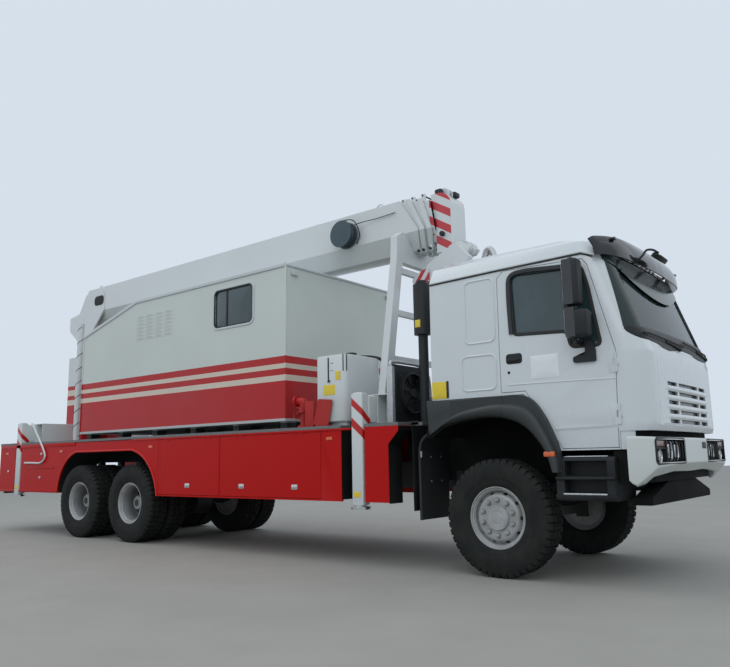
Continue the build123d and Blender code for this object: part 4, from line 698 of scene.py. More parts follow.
# Columns: distance from the rim's middle, radius: outer face of the steered wheel's rim from flange to hub
FRONT_RIM = (
    (0.1180, 0.297), (0.1290, 0.297), (0.1310, 0.291), (0.1290, 0.286), (0.1140, 0.280), (0.1120, 0.268),
    (0.1010, 0.263), (0.0990, 0.258), (0.0700, 0.254), (0.0620, 0.250), (0.0640, 0.246), (0.0780, 0.238),
    (0.0920, 0.229), (0.1020, 0.221), (0.1085, 0.213), (0.1120, 0.203), (0.1130, 0.190), (0.1120, 0.1360),
    (0.1120, 0.1250), (0.1160, 0.1230), (0.1330, 0.1200), (0.1390, 0.1150), (0.1400, 0.1080), (0.1380, 0.1050),
    (0.1400, 0.1020), (0.1410, 0.0600), (0.1400, 0.0570), (0.1415, 0.0540), (0.1420, 0.0001),
)
REAR_RIM = (
    (0.1180, 0.297), (0.1290, 0.297), (0.1310, 0.291), (0.1290, 0.286), (0.1140, 0.280), (0.1120, 0.268),
    (0.0900, 0.262), (0.0840, 0.253), (0.0000, 0.246), (-0.0900, 0.240), (-0.1150, 0.232), (-0.1300, 0.219),
    (-0.1400, 0.203), (-0.1460, 0.190), (-0.1480, 0.184), (-0.1490, 0.178), (-0.1490, 0.1400), (-0.1460, 0.1340),
    (-0.1150, 0.1230), (-0.1130, 0.1280), (-0.0950, 0.1280), (-0.0930, 0.1120), (-0.0300, 0.1060), (-0.0050, 0.0950),
    (0.0000, 0.0850), (0.0000, 0.0560), (0.0060, 0.0540), (0.0080, 0.0500), (0.0080, 0.0001),
)


def rim_face(profile, centre, side, inner, ring, size):
    """Rim: a profile turned about the axle, with ten vents of a size pushed in on a ring, and closed behind."""
    shape = np.array(profile)
    place = np.linspace(0, len(shape) - 1, 141)
    depth, radius = (np.interp(place, np.arange(len(shape)), shape[:, column]) for column in (0, 1))
    steps = 20 * VENTS
    angle = np.linspace(0, 2 * np.pi, steps, endpoint=False)[:, None]
    turn = (angle * VENTS / (2 * np.pi) + 0.5) % 1.0 - 0.5
    reach = np.hypot(turn * 2 * np.pi * ring / VENTS / size[0], (radius[None, :] - ring) / size[1])
    vent = np.clip((1.15 - reach) / 0.25, 0, 1) * (np.abs(radius - ring) < 0.02)
    along = side * (depth[None, :] - 0.028 * vent)
    wide = np.broadcast_to(radius[None, :], along.shape)
    face = np.stack([wide * np.cos(angle), along, wide * np.sin(angle)], axis=-1)
    back = np.array([(inner, 0.0001), (inner, 0.10), (inner + 0.02, 0.235), (inner, 0.270), (inner - 0.01, 0.297)])
    rear = np.stack([back[:, 1] * np.cos(angle), np.broadcast_to(side * back[:, 0], (steps, 5)),
                     back[:, 1] * np.sin(angle)], axis=-1)
    points = np.concatenate([rear, face], axis=1) + np.array(centre)
    # Painted shade: the vents, and the deep dish of a dished rim, are marked darker
    shade = np.broadcast_to(np.clip((0.05 - depth[None, :]) / 0.2, 0, 0.6), vent.shape)
    mask = np.concatenate([np.zeros((steps, 5)), np.maximum(vent, shade)], axis=1)
    return surface(points, True), mask.ravel()


def nuts(centre, side, level):
    """Ring of nuts on washers, with painted shade on the washers' rings: a six-sided stepped profile turned about each
    stud, all studs at once.
    """
    profile = np.array([(0, 0.0265), (0.003, 0.0265), (0.0031, NUT_SIZE), (0.020, NUT_SIZE), (0.023, 0.014),
                        (0.0231, 0.0105), (0.034, 0.0105), (0.036, 0.0001)])
    turn = np.linspace(0, 2 * np.pi, 12, endpoint=False)
    hexagon = 1 / np.cos((turn + np.pi / 6) % (np.pi / 3) - np.pi / 6)
    stud = np.arange(NUTS)[:, None, None] * 2 * np.pi / NUTS + 0.3
    six_sided = (profile[:, 1] > 0.0125) & (profile[:, 1] < 0.02)
    radius = profile[None, None, :, 1] * np.where(six_sided, hexagon[:, None], 1.0)[None]
    spot = np.stack([
        NUT_CIRCLE * np.cos(stud) + radius * np.cos(turn)[None, :, None],
        np.broadcast_to(side * (level + profile[:, 0]), radius.shape).repeat(NUTS, 0),
        NUT_CIRCLE * np.sin(stud) + radius * np.sin(turn)[None, :, None],
    ], axis=-1) + np.array(centre)
    faces = join_grid(12, len(profile), True)
    faces = (faces[None] + (np.arange(NUTS) * 12 * len(profile))[:, None, None]).reshape(-1, 4)
    mask = np.tile((profile[:, 1] > 0.02) * 0.85, NUTS * 12)
    return (spot.reshape(-1, 3), faces), mask


# Columns: place, length of the axle, distance of each tyre's middle from the truck's middle
WHEELS = (("front", 4.30, (1.02,)), ("middle", -1.75, (0.75, 1.09)), ("rear", -3.15, (0.75, 1.09)))
for place, x, offsets in WHEELS:
    for side, word in SIDES:
        body = f"wheel_{place}_{word}"
        shapes, masks = zip(*(tyre(x, side * offset) for offset in offsets))
        piece(f"tread_{place}_{word}", body, "tyre_rubber", "tyre_rubber", *shapes, smooth=28,
              painted_shade=np.concatenate(masks), replaced=(f"tyre_{place}_{word}",))
        centre = (x, side * offsets[-1], TYRE_R)
        twin = len(offsets) > 1
        if twin:
            face, mask = rim_face(REAR_RIM, centre, side, -0.40, 0.215, (0.021, 0.015))
            studs, washers = nuts(centre, side, -0.149)
        else:
            face, mask = rim_face(FRONT_RIM, centre, side, -0.07, 0.236, (0.020, 0.010))
            studs, washers = nuts(centre, side, 0.1125)
        shapes = [face, studs]
        if twin:
            barrel = ((-0.118, 0.297), (-0.13, 0.297), (-0.132, 0.288), (-0.11, 0.275), (0.11, 0.262), (0.132, 0.288),
                      (0.13, 0.297), (0.118, 0.297))
            shapes.append(turned(barrel, (x, side * offsets[0], TYRE_R), "y", side, 64, True))
        painted_shade = np.zeros(sum(len(points) for points, _ in shapes))
        painted_shade[: len(mask) + len(washers)] = np.concatenate([mask, washers])
        piece(f"disc_{place}_{word}", body, "rim_metal", "rim_silver", *shapes, smooth=32, painted_shade=painted_shade,
              replaced=(f"rim_{place}_{word}",))

# Outrigger legs with rounded corners on their beams
DECK_TOP = 1.53
for place in ("rear", "front"):
    for side, word in SIDES:
        node = f"outrigger_{place}_{word}"
        low, high = (corner[0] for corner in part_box(node))
        middle = (low + high) / 2
        leg = slab((middle - 0.08, side * 1.13, 0.65), (middle + 0.08, side * 1.25, 1.872), 0.014, "z", 0.004)
        cap = slab((middle - 0.066, side * 1.142, 1.86), (middle + 0.066, side * 1.238, 1.885), 0.012, "z", 0.006)
        beam = slab((low, side * -0.85, DECK_TOP + 0.0123), (high, side * 1.135, 1.856), 0.018, "y", 0.004)
        collar = slab((middle - 0.075, side * 1.135, 0.642), (middle + 0.075, side * 1.249, 0.665), 0.04, "z", 0.004)
        piece(f"leg_{place}_{word}", node, "leg_paint", "crane_white", leg, cap, beam, collar, replaced=(node,))
        plate = slab((middle - 0.055, side * 1.249, 0.73), (middle + 0.045, side * 1.2525, 0.79), 0.006, "y", 0.001)
        piece(f"leg_plate_{place}_{word}", node, "yellow_plate", "crane_white", plate)
        foot = turned(((-0.002, 0.06), (0.006, 0.10), (0.022, 0.1098), (0.026, 0.108), (0.03, 0.06), (0.05, 0.052),
                       (0.05, 0.0001)), (middle, side * 1.19, 0.60), "z", 1, 40)
        piece(f"pad_{place}_{word}", f"jack_{place}_{word}", "galvanised", "ram_chrome", foot)


# Wheel-arch lips, latches, reflectors and ledges on the skirts
def arc(start, end, radius, turn):
    """Points from start to end on a circle, whose centre lies left of the chord when turn is 1 and right when -1."""
    start, end = np.array(start, float), np.array(end, float)
    chord = end - start
    length = np.hypot(*chord)
    square = turn * np.array([-chord[1], chord[0]]) / length
    centre = (start + end) / 2 + square * math.sqrt(radius**2 - length**2 / 4)
    first, last = (math.atan2(*(point - centre)[::-1]) for point in (start, end))
    angle = first + ((last - first + np.pi) % (2 * np.pi) - np.pi) * np.linspace(0, 1, 14)
    return centre + radius * np.stack([np.cos(angle), np.sin(angle)], axis=1)


def arch_line(grow=0.0):
    """Line of the rear wheel arch in length and height: two arcs that bulge away from the wheels and a flat top."""
    rear = arc((-3.817 - grow, 0.68), (-3.258 - grow / 2, 1.34 + grow), 0.70 + grow, -1)
    front = arc((-1.716 + grow / 2, 1.34 + grow), (-1.062 + grow, 0.68), 0.76 + grow, -1)
    return np.vstack([rear, front])


# Bent handrail outside the skirt: length and height
GUARD = ((-4.721, 1.862), (-4.470, 1.600), (-4.250, 1.360), (-4.235, 1.250), (-4.375, 1.176), (-4.640, 1.178),
         (-4.912, 1.180))
# Columns of each: length and height of a latch, of a reflector
LATCHES = ((-4.366, 1.325), (-4.390, 0.930), (-5.527, 1.036))
REFLECTORS = ((-5.599, 1.347), (-3.719, 1.355), (-1.230, 1.372), (2.226, 1.383))
# Columns: rear end, front end, low and high edge, outer face
LEDGES = ((-5.86, -3.86, 0.690, 0.715, 1.247), (-4.855, -3.939, 1.080, 1.098, 1.252),
          (-5.86, -3.30, 1.436, 1.494, 1.250), (-1.70, 2.545, 1.470, 1.494, 1.250))
for side, word in SIDES:
    lip = carried(flat_loop(arch_line(), "y", side * 1.241), corner_loop(0.030, 0.024, 0.010), up=(0, 1, 0))
    piece(f"arch_lip_{word}", "chassis", "arch_lip_highlight_red", "skirt_red", lip)
    line = arch_line(0.012)
    liner = np.stack([np.repeat(line[:, None, 0], 2, 1), np.tile([side * 0.62, side * 1.209], (len(line), 1)),
                      np.repeat(line[:, None, 1], 2, 1)], axis=-1)
    thick = np.concatenate([liner, liner[:, ::-1] + (0, 0, 0.006)], axis=1)
    # Dark slab deep inside the rear arch: painted shade
    piece(f"arch_shade_{word}", "chassis", "black_parts_and_shade", "trim_black",
          slab((-3.80, side * 0.470, 1.16), (-1.08, side * 0.485, 1.40), 0.004, "y", 0.001))
    piece(f"arch_liner_{word}", "chassis", "moulding", "trim_black", surface(thick, False, True))
    piece(f"side_latches_{word}", "chassis", "bright_metal", "ram_chrome",
          *(slab((x - 0.028, side * 1.238, z - 0.020), (x + 0.028, side * 1.253, z + 0.020), 0.012, "y", 0.003)
            for x, z in LATCHES))
    piece(f"skirt_ledge_{word}", "chassis", "skirt_paint", "skirt_red",
          *(slab((rear, side * 1.238, low), (front, side * outer, high), 0.004, "x", 0.002)
            for rear, front, low, high, outer in LEDGES))
    piece(f"reflectors_{word}", "chassis", "amber_lens", "lamp_plastic",
          *(slab((x - 0.045, side * 1.239, z - 0.018), (x + 0.045, side * 1.249, z + 0.018), 0.006, "y", 0.002)
            for x, z in REFLECTORS))
    guard = flat_loop(GUARD, "y", side * 1.262)
    piece(f"side_guard_{word}", "chassis", "crane_paint", "crane_white", tube(guard, 0.016, 10, (0, 1, 0)))
    for number, spots in ((1, (-0.38,)), (2, (0.72, 1.66))):
        shapes = []
        for x in spots:
            shapes.append(slab((x - 0.05, side * 1.236, 0.80), (x + 0.05, side * 1.243, 0.86), 0.012, "y", 0.003))
            shapes.append(slab((x - 0.034, side * 1.240, 0.815), (x + 0.034, side * 1.2485, 0.845), 0.01, "y", 0.003))
        piece(f"latches_{word}_{number}", f"locker_door_{word}_{number}", "bright_metal", "ram_chrome", *shapes)

# Cabin: window frames, louvres, gutters, corner lamps
for side, word in SIDES:
    loop = corner_loop(0.815, 0.56, 0.09, 8) + np.array([0.4175, 3.22])
    outer = carried(flat_loop(loop, "y", side * 1.153), corner_loop(0.030, 0.016, 0.006), up=(0, 1, 0), ring=True)
    piece(f"window_frame_{word}", "chassis", "roof_paint", "cabin_paint", outer)
    loop = corner_loop(0.775, 0.52, 0.08, 8) + np.array([0.4175, 3.22])
    seal = carried(flat_loop(loop, "y", side * 1.151), corner_loop(0.024, 0.014, 0.005), up=(0, 1, 0), ring=True)
    bar = slab((0.270, side * 1.125, 2.97), (0.300, side * 1.148, 3.47), 0.004, "z", 0.002)
    pane = slab((0.03, side * 1.120, 2.96), (0.805, side * 1.140, 3.48), 0.07, "y", 0.001)
    piece(f"window_seal_{word}", "chassis", "seal_rubber", "trim_black", seal, bar)
    piece(f"window_pane_{word}", "chassis", "tinted_glass", "dark_glass", pane)
    # Louvres: a low wave of 4 columns by 7 rows raised on the wall
    u, v = np.meshgrid(np.linspace(0, 4, 161), np.linspace(0, 7, 113), indexing="ij")
    swell = np.sin(np.pi * (u % 1.0)) ** 0.6 * np.clip(1.25 * (v % 1.0), 0, 1) * (v % 1.0 < 0.86) * 0.010
    swell[[0, -1]] = 0
    swell[:, [0, -1]] = 0
    grid = np.stack([-1.834 + u * 0.232, side * (1.1502 + swell),
                     2.985 + v * 0.056 + 0.010 * np.sin(np.pi * (u % 1.0))], axis=-1)
    piece(f"louvres_{word}", "chassis", "cabin_paint", "cabin_paint", surface(grid), smooth=25)
    edge = np.array([(-3.333, 3.232), (-1.852, 3.622), (1.423, 3.622)])
    gutter = carried(flat_loop(edge, "y", side * 1.153), corner_loop(0.052, 0.024, 0.008), up=(0, 1, 0))
    piece(f"gutter_{word}", "chassis", "roof_paint", "cabin_paint", gutter)
ends = []
for x, z in ((1.423, 3.622), (-3.333, 3.232)):
    path = np.array([(x, -1.16, z), (x, 0, z), (x, 1.16, z)])
    ends.append(carried(path, corner_loop(0.026, 0.030, 0.008)))
for y in (-1.0, 1.0):
    ends.append(slab((1.420, y - 0.05, 3.50), (1.452, y + 0.05, 3.56), 0.01, "x", 0.004))
piece("gutter_ends", "chassis", "roof_paint", "cabin_paint", *ends)
corners = []
for side, word in SIDES:
    for x in (-3.331, 1.421):
        top = 3.61 if x > 0 else 3.22
        corners.append(slab((x - 0.012, side * 1.138, 1.66), (x + 0.012, side * 1.162, top), 0.009, "z", 0.002))
piece("cabin_corners", "chassis", "cabin_paint", "cabin_paint", *corners)

# Cab sides: window seals, rain hoods, handles, pressed lines, drip rail, tags, markers and mirrors
WINDOW = [(4.545, 2.935), (4.570, 2.323), (5.120, 2.294), (5.150, 2.140), (5.435, 2.130), (5.345, 2.700),
          (5.290, 2.895)]
RAIN_HOOD = ((4.548, 2.33), (4.535, 2.75), (4.56, 2.91), (4.70, 2.945), (5.00, 2.925), (5.27, 2.905))
# Pressed line's section: across the line and out of the panel
CREASE = np.array([(-0.010, -0.004), (-0.001, 0.007), (0.001, 0.007), (0.030, -0.004)])
SILL = np.array([(-0.004, -0.004), (-0.002, 0.009), (0.002, 0.009), (0.034, -0.004)])
for side, word in SIDES:
    door = f"door_{word}"

    def skin(points, lift=0.0):
        """Points in length and height laid on the cab's side, which leans in above the waist."""
        points = np.array(points, float)
        lean = np.clip((points[:, 1] - 2.21) / 0.8, 0, 1.2) * 0.015
        bend = np.clip(points[:, 0] - (5.575 - np.clip(points[:, 1] - 2.06, 0, 1) * 0.31), 0, None) ** 2 / 0.5
        return np.stack([points[:, 0], side * (1.14 - lean - bend + lift), points[:, 1]], axis=1)

    def strip(points, lift, width, height, radius, ring=False):
        """Rounded strip along points on the cab's side."""
        return carried(skin(points, lift), corner_loop(width, height, radius), up=(0, side, 0), ring=ring)

    outline = rounded_outline(WINDOW, 0.05)
    seal = strip(outline, 0.001, 0.034, 0.012, 0.005, True)
    hood = strip(smooth_path(RAIN_HOOD, 6), 0.012, 0.045, 0.016, 0.006)
    post = strip([(5.13, 2.30), (5.125, 2.50), (5.11, 2.915)], 0.0, 0.045, 0.012, 0.004)
    piece(f"door_seal_{word}", door, "seal_rubber", "trim_black", seal, post)
    piece(f"rain_hood_{word}", door, "visor_plastic", "trim_black", hood)
    dip = slab((4.475, side * 1.139, 2.036), (4.648, side * 1.143, 2.138), 0.03, "y", 0.002)
    lever = slab((4.49, side * 1.141, 2.062), (4.62, side * 1.160, 2.088), 0.012, "y", 0.005)
    lock = turned(((0, 0.014), (0.004, 0.014), (0.006, 0.011), (0.006, 0.0001)), (4.50, side * 1.139, 1.955), "y",
                  side, 20)
    piece(f"door_handle_{word}", door, "moulding", "trim_black", dip, lever, lock)
    crease = carried(skin([(4.48, 1.832), (4.9, 1.828), (5.20, 1.823), (5.54, 1.814)], -0.002),
                     CREASE * (side, 1), up=(0, side, 0))
    sill = carried(skin([(4.95, 1.392), (5.2, 1.398), (5.54, 1.408)], -0.001),
                   SILL * (-side, 1), up=(0, side, 0))
    piece(f"door_creases_{word}", door, "cab_paint", "cab_white", crease, sill)
    frames = []
    for low, high in (((4.023, 2.287), (4.362, 2.940)), ((3.968, 1.806), (4.357, 2.157))):
        loop = corner_loop(high[0] - low[0], high[1] - low[1], 0.06, 6) + (np.array(low) + np.array(high)) / 2
        frames.append(carried(skin(loop, -0.004), round_bar(0.0125, 8), up=(0, side, 0), ring=True))
    rail = strip([(3.60, 3.000), (4.4, 3.018), (5.30, 3.030), (5.42, 2.985)], 0.004, 0.022, 0.018, 0.006)
    piece(f"cab_pressings_{word}", "chassis", "cab_paint", "cab_white", *frames, rail)
    tag = slab((3.594, side * 1.138, 1.748), (3.772, side * 1.1425, 1.928), 0.008, "y", 0.001)
    tag_edge = slab((3.773, side * 1.138, 1.752), (3.800, side * 1.1445, 1.930), 0.004, "y", 0.001)
    roof_seam = strip([(3.60, 2.981), (4.4, 2.999), (5.30, 3.011), (5.40, 2.972)], 0.004, 0.014, 0.010, 0.003)
    piece(f"cab_seams_{word}", "chassis", "seal_rubber", "trim_black", tag_edge, roof_seam)
    piece(f"yellow_tag_{word}", "chassis", "yellow_plate", "cab_white", tag)
    lamp = slab((4.862, side * 1.225, 1.135), (4.970, side * 1.2495, 1.184), 0.014, "y", 0.008)
    piece(f"side_marker_{word}", "chassis", "amber_lens", "lamp_plastic", lamp)
    heads = [
        slab((5.185, side * 1.196, 2.495), (5.335, side * 1.3495, 2.932), 0.045, "z", 0.03),
        slab((5.185, side * 1.196, 2.195), (5.395, side * 1.3495, 2.450), 0.045, "z", 0.03),
        tube([(5.24, side * 1.12, 2.165), (5.24, side * 1.20, 2.165), (5.24, side * 1.256, 2.19),
              (5.24, side * 1.256, 2.5), (5.24, side * 1.256, 2.90), (5.24, side * 1.20, 2.944),
              (5.24, side * 1.12, 2.944)], 0.021, 12, (1, 0, 0)),
        sheet_between(rounded_outline([(5.172, 1.985), (5.385, 1.985), (5.385, 2.100), (5.345, 2.19), (5.290, 2.19),
                                       (5.290, 2.055), (5.172, 2.040)], 0.02), "y", side * 1.135, side * 1.166),
    ]
    piece(f"mirrors_{word}", door, "moulding", "trim_black", *heads)
    faces = [slab((5.184, side * 1.212, z0), (5.1865, side * 1.335, z1), 0.02, "x", 0.001)
             for z0, z1 in ((2.51, 2.915), (2.215, 2.46))]
    piece(f"mirror_glass_{word}", door, "bright_metal", "ram_chrome", *faces)

# Cab front: panel with its slots, cowl, shade of the windscreen and wipers
# Columns: height, front, half width, corner radius
CAB_FRONT = np.array([(1.19, 5.76, 1.13, 0.23), (1.40, 5.825, 1.14, 0.25), (2.06, 5.825, 1.14, 0.26),
                      (2.21, 5.775, 1.14, 0.25), (3.01, 5.50, 1.125, 0.23),
                      (3.15, 5.39, 1.085, 0.21), (3.225, 5.18, 0.96, 0.20)])
PANEL_BACK = 5.752


def cab_front(y, z):
    """Length of the cab's front at a width and height: front + a shallow bulge, then a quarter circle at the corner."""
    front, half, corner = (np.interp(z, CAB_FRONT[:, 0], CAB_FRONT[:, column]) for column in (1, 2, 3))
    flat = half - corner
    past = np.clip(np.abs(y) - flat, 0, corner)
    return front + 0.025 * np.clip(1 - (y / flat) ** 2, 0, 1) - corner + np.sqrt(corner**2 - past**2)


def grille_panel():
    """Front panel: x = cab front - depth * slot(y, z), five rows of slots split by two bars, slats bulged between."""
    z, rows, swell = [1.412], [0], [0]
    for middle in 1.437 + 0.0868 * np.arange(5):
        for step, cut, rise in ((-0.0185, 0, 0), (-0.0155, 1, 0), (0.0155, 1, 0), (0.0185, 0, 0), (0.032, 0, 1),
                                (0.0434, 0, 1.3), (0.055, 0, 1)):
            z.append(middle + step)
            rows.append(cut)
            swell.append(rise)
    z, rows, swell = z + [2.0, 2.104, 2.108], rows + [0, 0, 0], swell[:-3] + [0] * 6
    half = np.array([(0.0, 1), (0.10, 1), (0.20, 1), (0.318, 1), (0.322, 0), (0.366, 0), (0.370, 1), (0.50, 1),
                     (0.630, 1), (0.634, 0), (0.65, 0), (0.74, 0), (0.80, 0), (0.853, 0), (0.857, 0)])
    across = np.concatenate([half[:0:-1] * (-1, 1), half])
    y, z = across[:, None, 0], np.array(z)[None, :]
    slot = across[:, None, 1] * np.array(rows)[None, :]
    ridge = 0.006 * np.array(swell)[None, :] * np.clip((0.655 - np.abs(y)) / 0.02, 0, 1)
    front = cab_front(y, z) + ridge - 0.032 * slot
    shape = front.shape
    face = np.stack([front, np.broadcast_to(y, shape), np.broadcast_to(z, shape)], axis=-1)
    rim = [face[:, 0], face[:, -1], face[0], face[-1]]
    skirt = [np.stack([edge, edge * (0, 1, 1) + (PANEL_BACK, 0, 0)], axis=1) for edge in rim]
    shapes = [surface(face)]
    shapes += [surface(side) for side in skirt]
    back = np.stack([edge * (0, 1, 1) + (PANEL_BACK, 0, 0) for edge in (face[:, 0], face[:, -1])], axis=1)
    shapes.append(surface(back))
    # The slots' mark, which paints shade in them
    mask = np.concatenate([slot.ravel(), np.zeros(sum(len(points) for points, _ in shapes[1:]))])
    return shapes, mask


shapes, mask = grille_panel()
piece("grille_panel", "front_panel", "panel_paint", "cab_white", *shapes, painted_shade=mask, replaced=("front_panel",))

# Lower edge of the dark cowl under the windscreen, by width and height
COWL = ((-1.105, 2.255), (-1.085, 2.205), (-1.02, 2.160), (-0.90, 2.144), (-0.76, 2.132), (-0.67, 2.112),
        (-0.59, 2.094), (-0.42, 2.090), (-0.22, 2.112), (0.0, 2.132), (0.30, 2.122), (0.38, 2.104), (0.47, 2.090),
        (0.80, 2.090), (0.97, 2.096), (1.06, 2.110))
edge = smooth_path(COWL, 5)
y, share = edge[:, None, 0], np.linspace(0, 1, 9)[None, :]
z = edge[:, None, 1] + (2.290 - edge[:, None, 1]) * share
lift = np.array([-0.004, 0.004, 0.008, 0.009, 0.009, 0.009, 0.009, 0.008, -0.004])[None, :]
cowl = np.stack([cab_front(y, z) + lift, np.broadcast_to(y, z.shape), z], axis=-1)
piece("screen_cowl", "chassis", "moulding", "trim_black", surface(cowl))


def front_sheet(low, high, lift, across=41, up=9):
    """Sheet on the cab's front: x = cab front + lift, between a lower and an upper edge given by width and height."""
    low, high = evenly(low, across)[:, None], evenly(high, across)[:, None]
    flat = low + (high - low) * np.linspace(0, 1, up)[None, :, None]
    x = cab_front(flat[..., 0], flat[..., 1]) + lift
    return surface(np.stack([x, flat[..., 0], flat[..., 1]], axis=-1))


# Dark sheets over the windscreen's top band and side corners: partly the glass's tint, partly painted shade under the
# visor
wide = np.linspace(-1.055, 1.055, 41)
shade = front_sheet(np.stack([wide, 2.66 + 0.28 * (wide / 1.055) ** 2], 1), np.stack([wide, np.full(41, 3.0)], 1),
                    0.013)
flanks = [front_sheet(smooth_path([(side * 0.93, 2.262), (side * 1.06, 2.262), (side * 1.103, 2.285)], 6),
                      [(side * 0.90, 2.98), (side * 1.03, 2.98)], 0.0025, 13, 21) for side in (-1, 1)]
piece("screen_tint_and_shade", "chassis", "screen_tint_and_shade", "dark_glass", shade, *flanks)
# Dark sheet on the cab's front under the visor: painted shade
shade_under_visor = front_sheet([(-1.05, 2.985), (0, 2.985), (1.05, 2.985)], [(-0.93, 3.165), (0, 3.165), (0.93, 3.165)], 0.012)
piece("visor_shade", "chassis", "black_parts_and_shade", "trim_black", shade_under_visor)
wipers = []
# Columns: pivot width, blade's end, blade's other end in width and height
for pivot, low, high in (((-0.12, 2.150), (-1.00, 2.222), (-0.02, 2.180)),
                         ((0.93, 2.150), (0.06, 2.236), (1.03, 2.185))):
    for start, end, width, lift in ((pivot, ((low[0] + high[0]) / 2, (low[1] + high[1]) / 2 - 0.012), 0.020, 0.022),
                                    (low, high, 0.016, 0.030)):
        y, z = np.linspace(start, end, 14).T
        path = np.stack([cab_front(y, z) + lift, y, z], axis=1)
        wipers.append(carried(path, corner_loop(width, 0.014, 0.004), up=(1, 0, 0)))
    root = cab_front(pivot[0], pivot[1])
    wipers.append(turned(((0, 0.026), (0.024, 0.024), (0.032, 0.014), (0.032, 0.0001)), (root, *pivot), "x", 1, 20))
piece("wipers", "chassis", "seal_rubber", "trim_black", *wipers)


# Sun visor: a shallow shell across the roof's front edge
def visor_shell():
    """Visor: across by round, each section a thin drooping lip between an upper rear and a lower front edge line."""
    # Columns: width, rear edge's length and height, front edge's length and height
    edges = np.array([(-1.16, 5.395, 3.135, 5.450, 2.965), (-1.10, 5.430, 3.165, 5.490, 2.975),
                      (-0.89, 5.530, 3.178, 5.590, 2.968), (-0.62, 5.575, 3.180, 5.640, 2.960),
                      (-0.18, 5.590, 3.182, 5.665, 2.955), (0.0, 5.590, 3.182, 5.667, 2.955)])
    edges = np.vstack([edges, edges[-2::-1] * (-1, 1, 1, 1, 1)])
    edges = smooth_path(edges, 6)
    share = np.array([0, 0.15, 0.45, 0.8, 1.0, 1.0, 0.78, 0.45, 0.15, 0])
    bow = np.array([0, 0.016, 0.030, 0.018, 0.004, -0.008, -0.004, 0.010, 0.0, -0.010])
    rear, front = edges[:, 1:3], edges[:, 3:5]
    run = front - rear
    square = np.stack([-run[:, 1], run[:, 0]], axis=1) / np.linalg.norm(run, axis=1, keepdims=True)
    flat = rear[:, None] + run[:, None] * share[:, None] + square[:, None] * bow[:, None]
    return lofted(np.stack([flat[..., 0], np.broadcast_to(edges[:, :1], flat.shape[:2]), flat[..., 1]], axis=-1))


# Visor stays from the roof's front to the shell, with the clearance lamps beneath
stays = [carried([(5.40, y, 3.12), (5.47, y, 3.14), (5.575, y, 3.145)], corner_loop(0.05, 0.022, 0.006))
         for y in (-0.95, -0.35, 0.35, 0.95)]
lamps = [slab((5.505, y - 0.035, 3.030), (5.535, y + 0.035, 3.056), 0.008, "x", 0.004)
         for y in (-0.62, -0.50, -0.38, -0.26, -0.10, 0.02, 0.14, 0.26)]
lamps.append(slab((5.480, 0.40, 3.010), (5.520, 0.62, 3.060), 0.012, "x", 0.006))
piece("sun_visor", "chassis", "visor_plastic", "trim_black", visor_shell(), *stays)
piece("clearance_lamps", "chassis", "blank_white", "lamp_plastic", *lamps)
# Kerb mirror under the visor: bent arm and an oval dish that faces down
arm = tube([(5.600, -0.62, 2.965), (5.640, -0.62, 2.97), (5.700, -0.61, 3.02), (5.735, -0.58, 3.075),
            (5.770, -0.50, 3.090), (5.790, -0.40, 3.080)], 0.011, 10, (0, 1, 0.2))
turn = np.linspace(0, 2 * np.pi, 40, endpoint=False)[:, None]
ring = np.array([(1.0, -0.6), (1.0, 0.6), (0.93, 1.0), (0.0, 1.25)])
dish = np.stack([5.765 + 0.070 * ring[None, :, 0] * np.cos(turn) * 0.6 + 0.022 * ring[None, :, 1],
                 -0.30 + 0.175 * ring[None, :, 0] * np.sin(turn),
                 3.045 - 0.070 * ring[None, :, 0] * np.cos(turn) * 0.5 + 0.022 * ring[None, :, 1]], axis=-1)
back = dish[:, :1].mean(0, keepdims=True).repeat(40, 0)
dish = np.concatenate([back, dish], axis=1)
piece("kerb_mirror", "chassis", "moulding", "trim_black", arm, surface(dish, True))


# Bumper: lofted shell with lamp openings, black core behind it as painted shade, under-run beam
# Columns: length and width of the face, its top and bottom, then length, width and height of the chamfer's lower edge
BUMPER = np.array([
    (5.634, -1.2500, 1.301, 0.928, 5.634, -1.235, 0.915), (5.682, -1.2460, 1.300, 0.877, 5.680, -1.225, 0.868),
    (5.770, -1.2050, 1.295, 0.950, 5.735, -1.130, 0.895), (5.838, -1.1730, 1.291, 1.015, 5.770, -1.075, 0.936),
    (5.850, -1.1550, 1.290, 1.027, 5.777, -1.050, 0.947), (5.857, -1.1000, 1.290, 1.030, 5.782, -1.000, 0.952),
    (5.866, -0.9000, 1.291, 1.042, 5.790, -0.820, 0.965), (5.872, -0.5500, 1.292, 1.055, 5.800, -0.520, 0.985),
    (5.8745, 0.0, 1.293, 1.057, 5.800, 0.0, 0.975),
])
LAMP_Y, LAMP_Z = (0.395, 1.145), (1.072, 1.268)


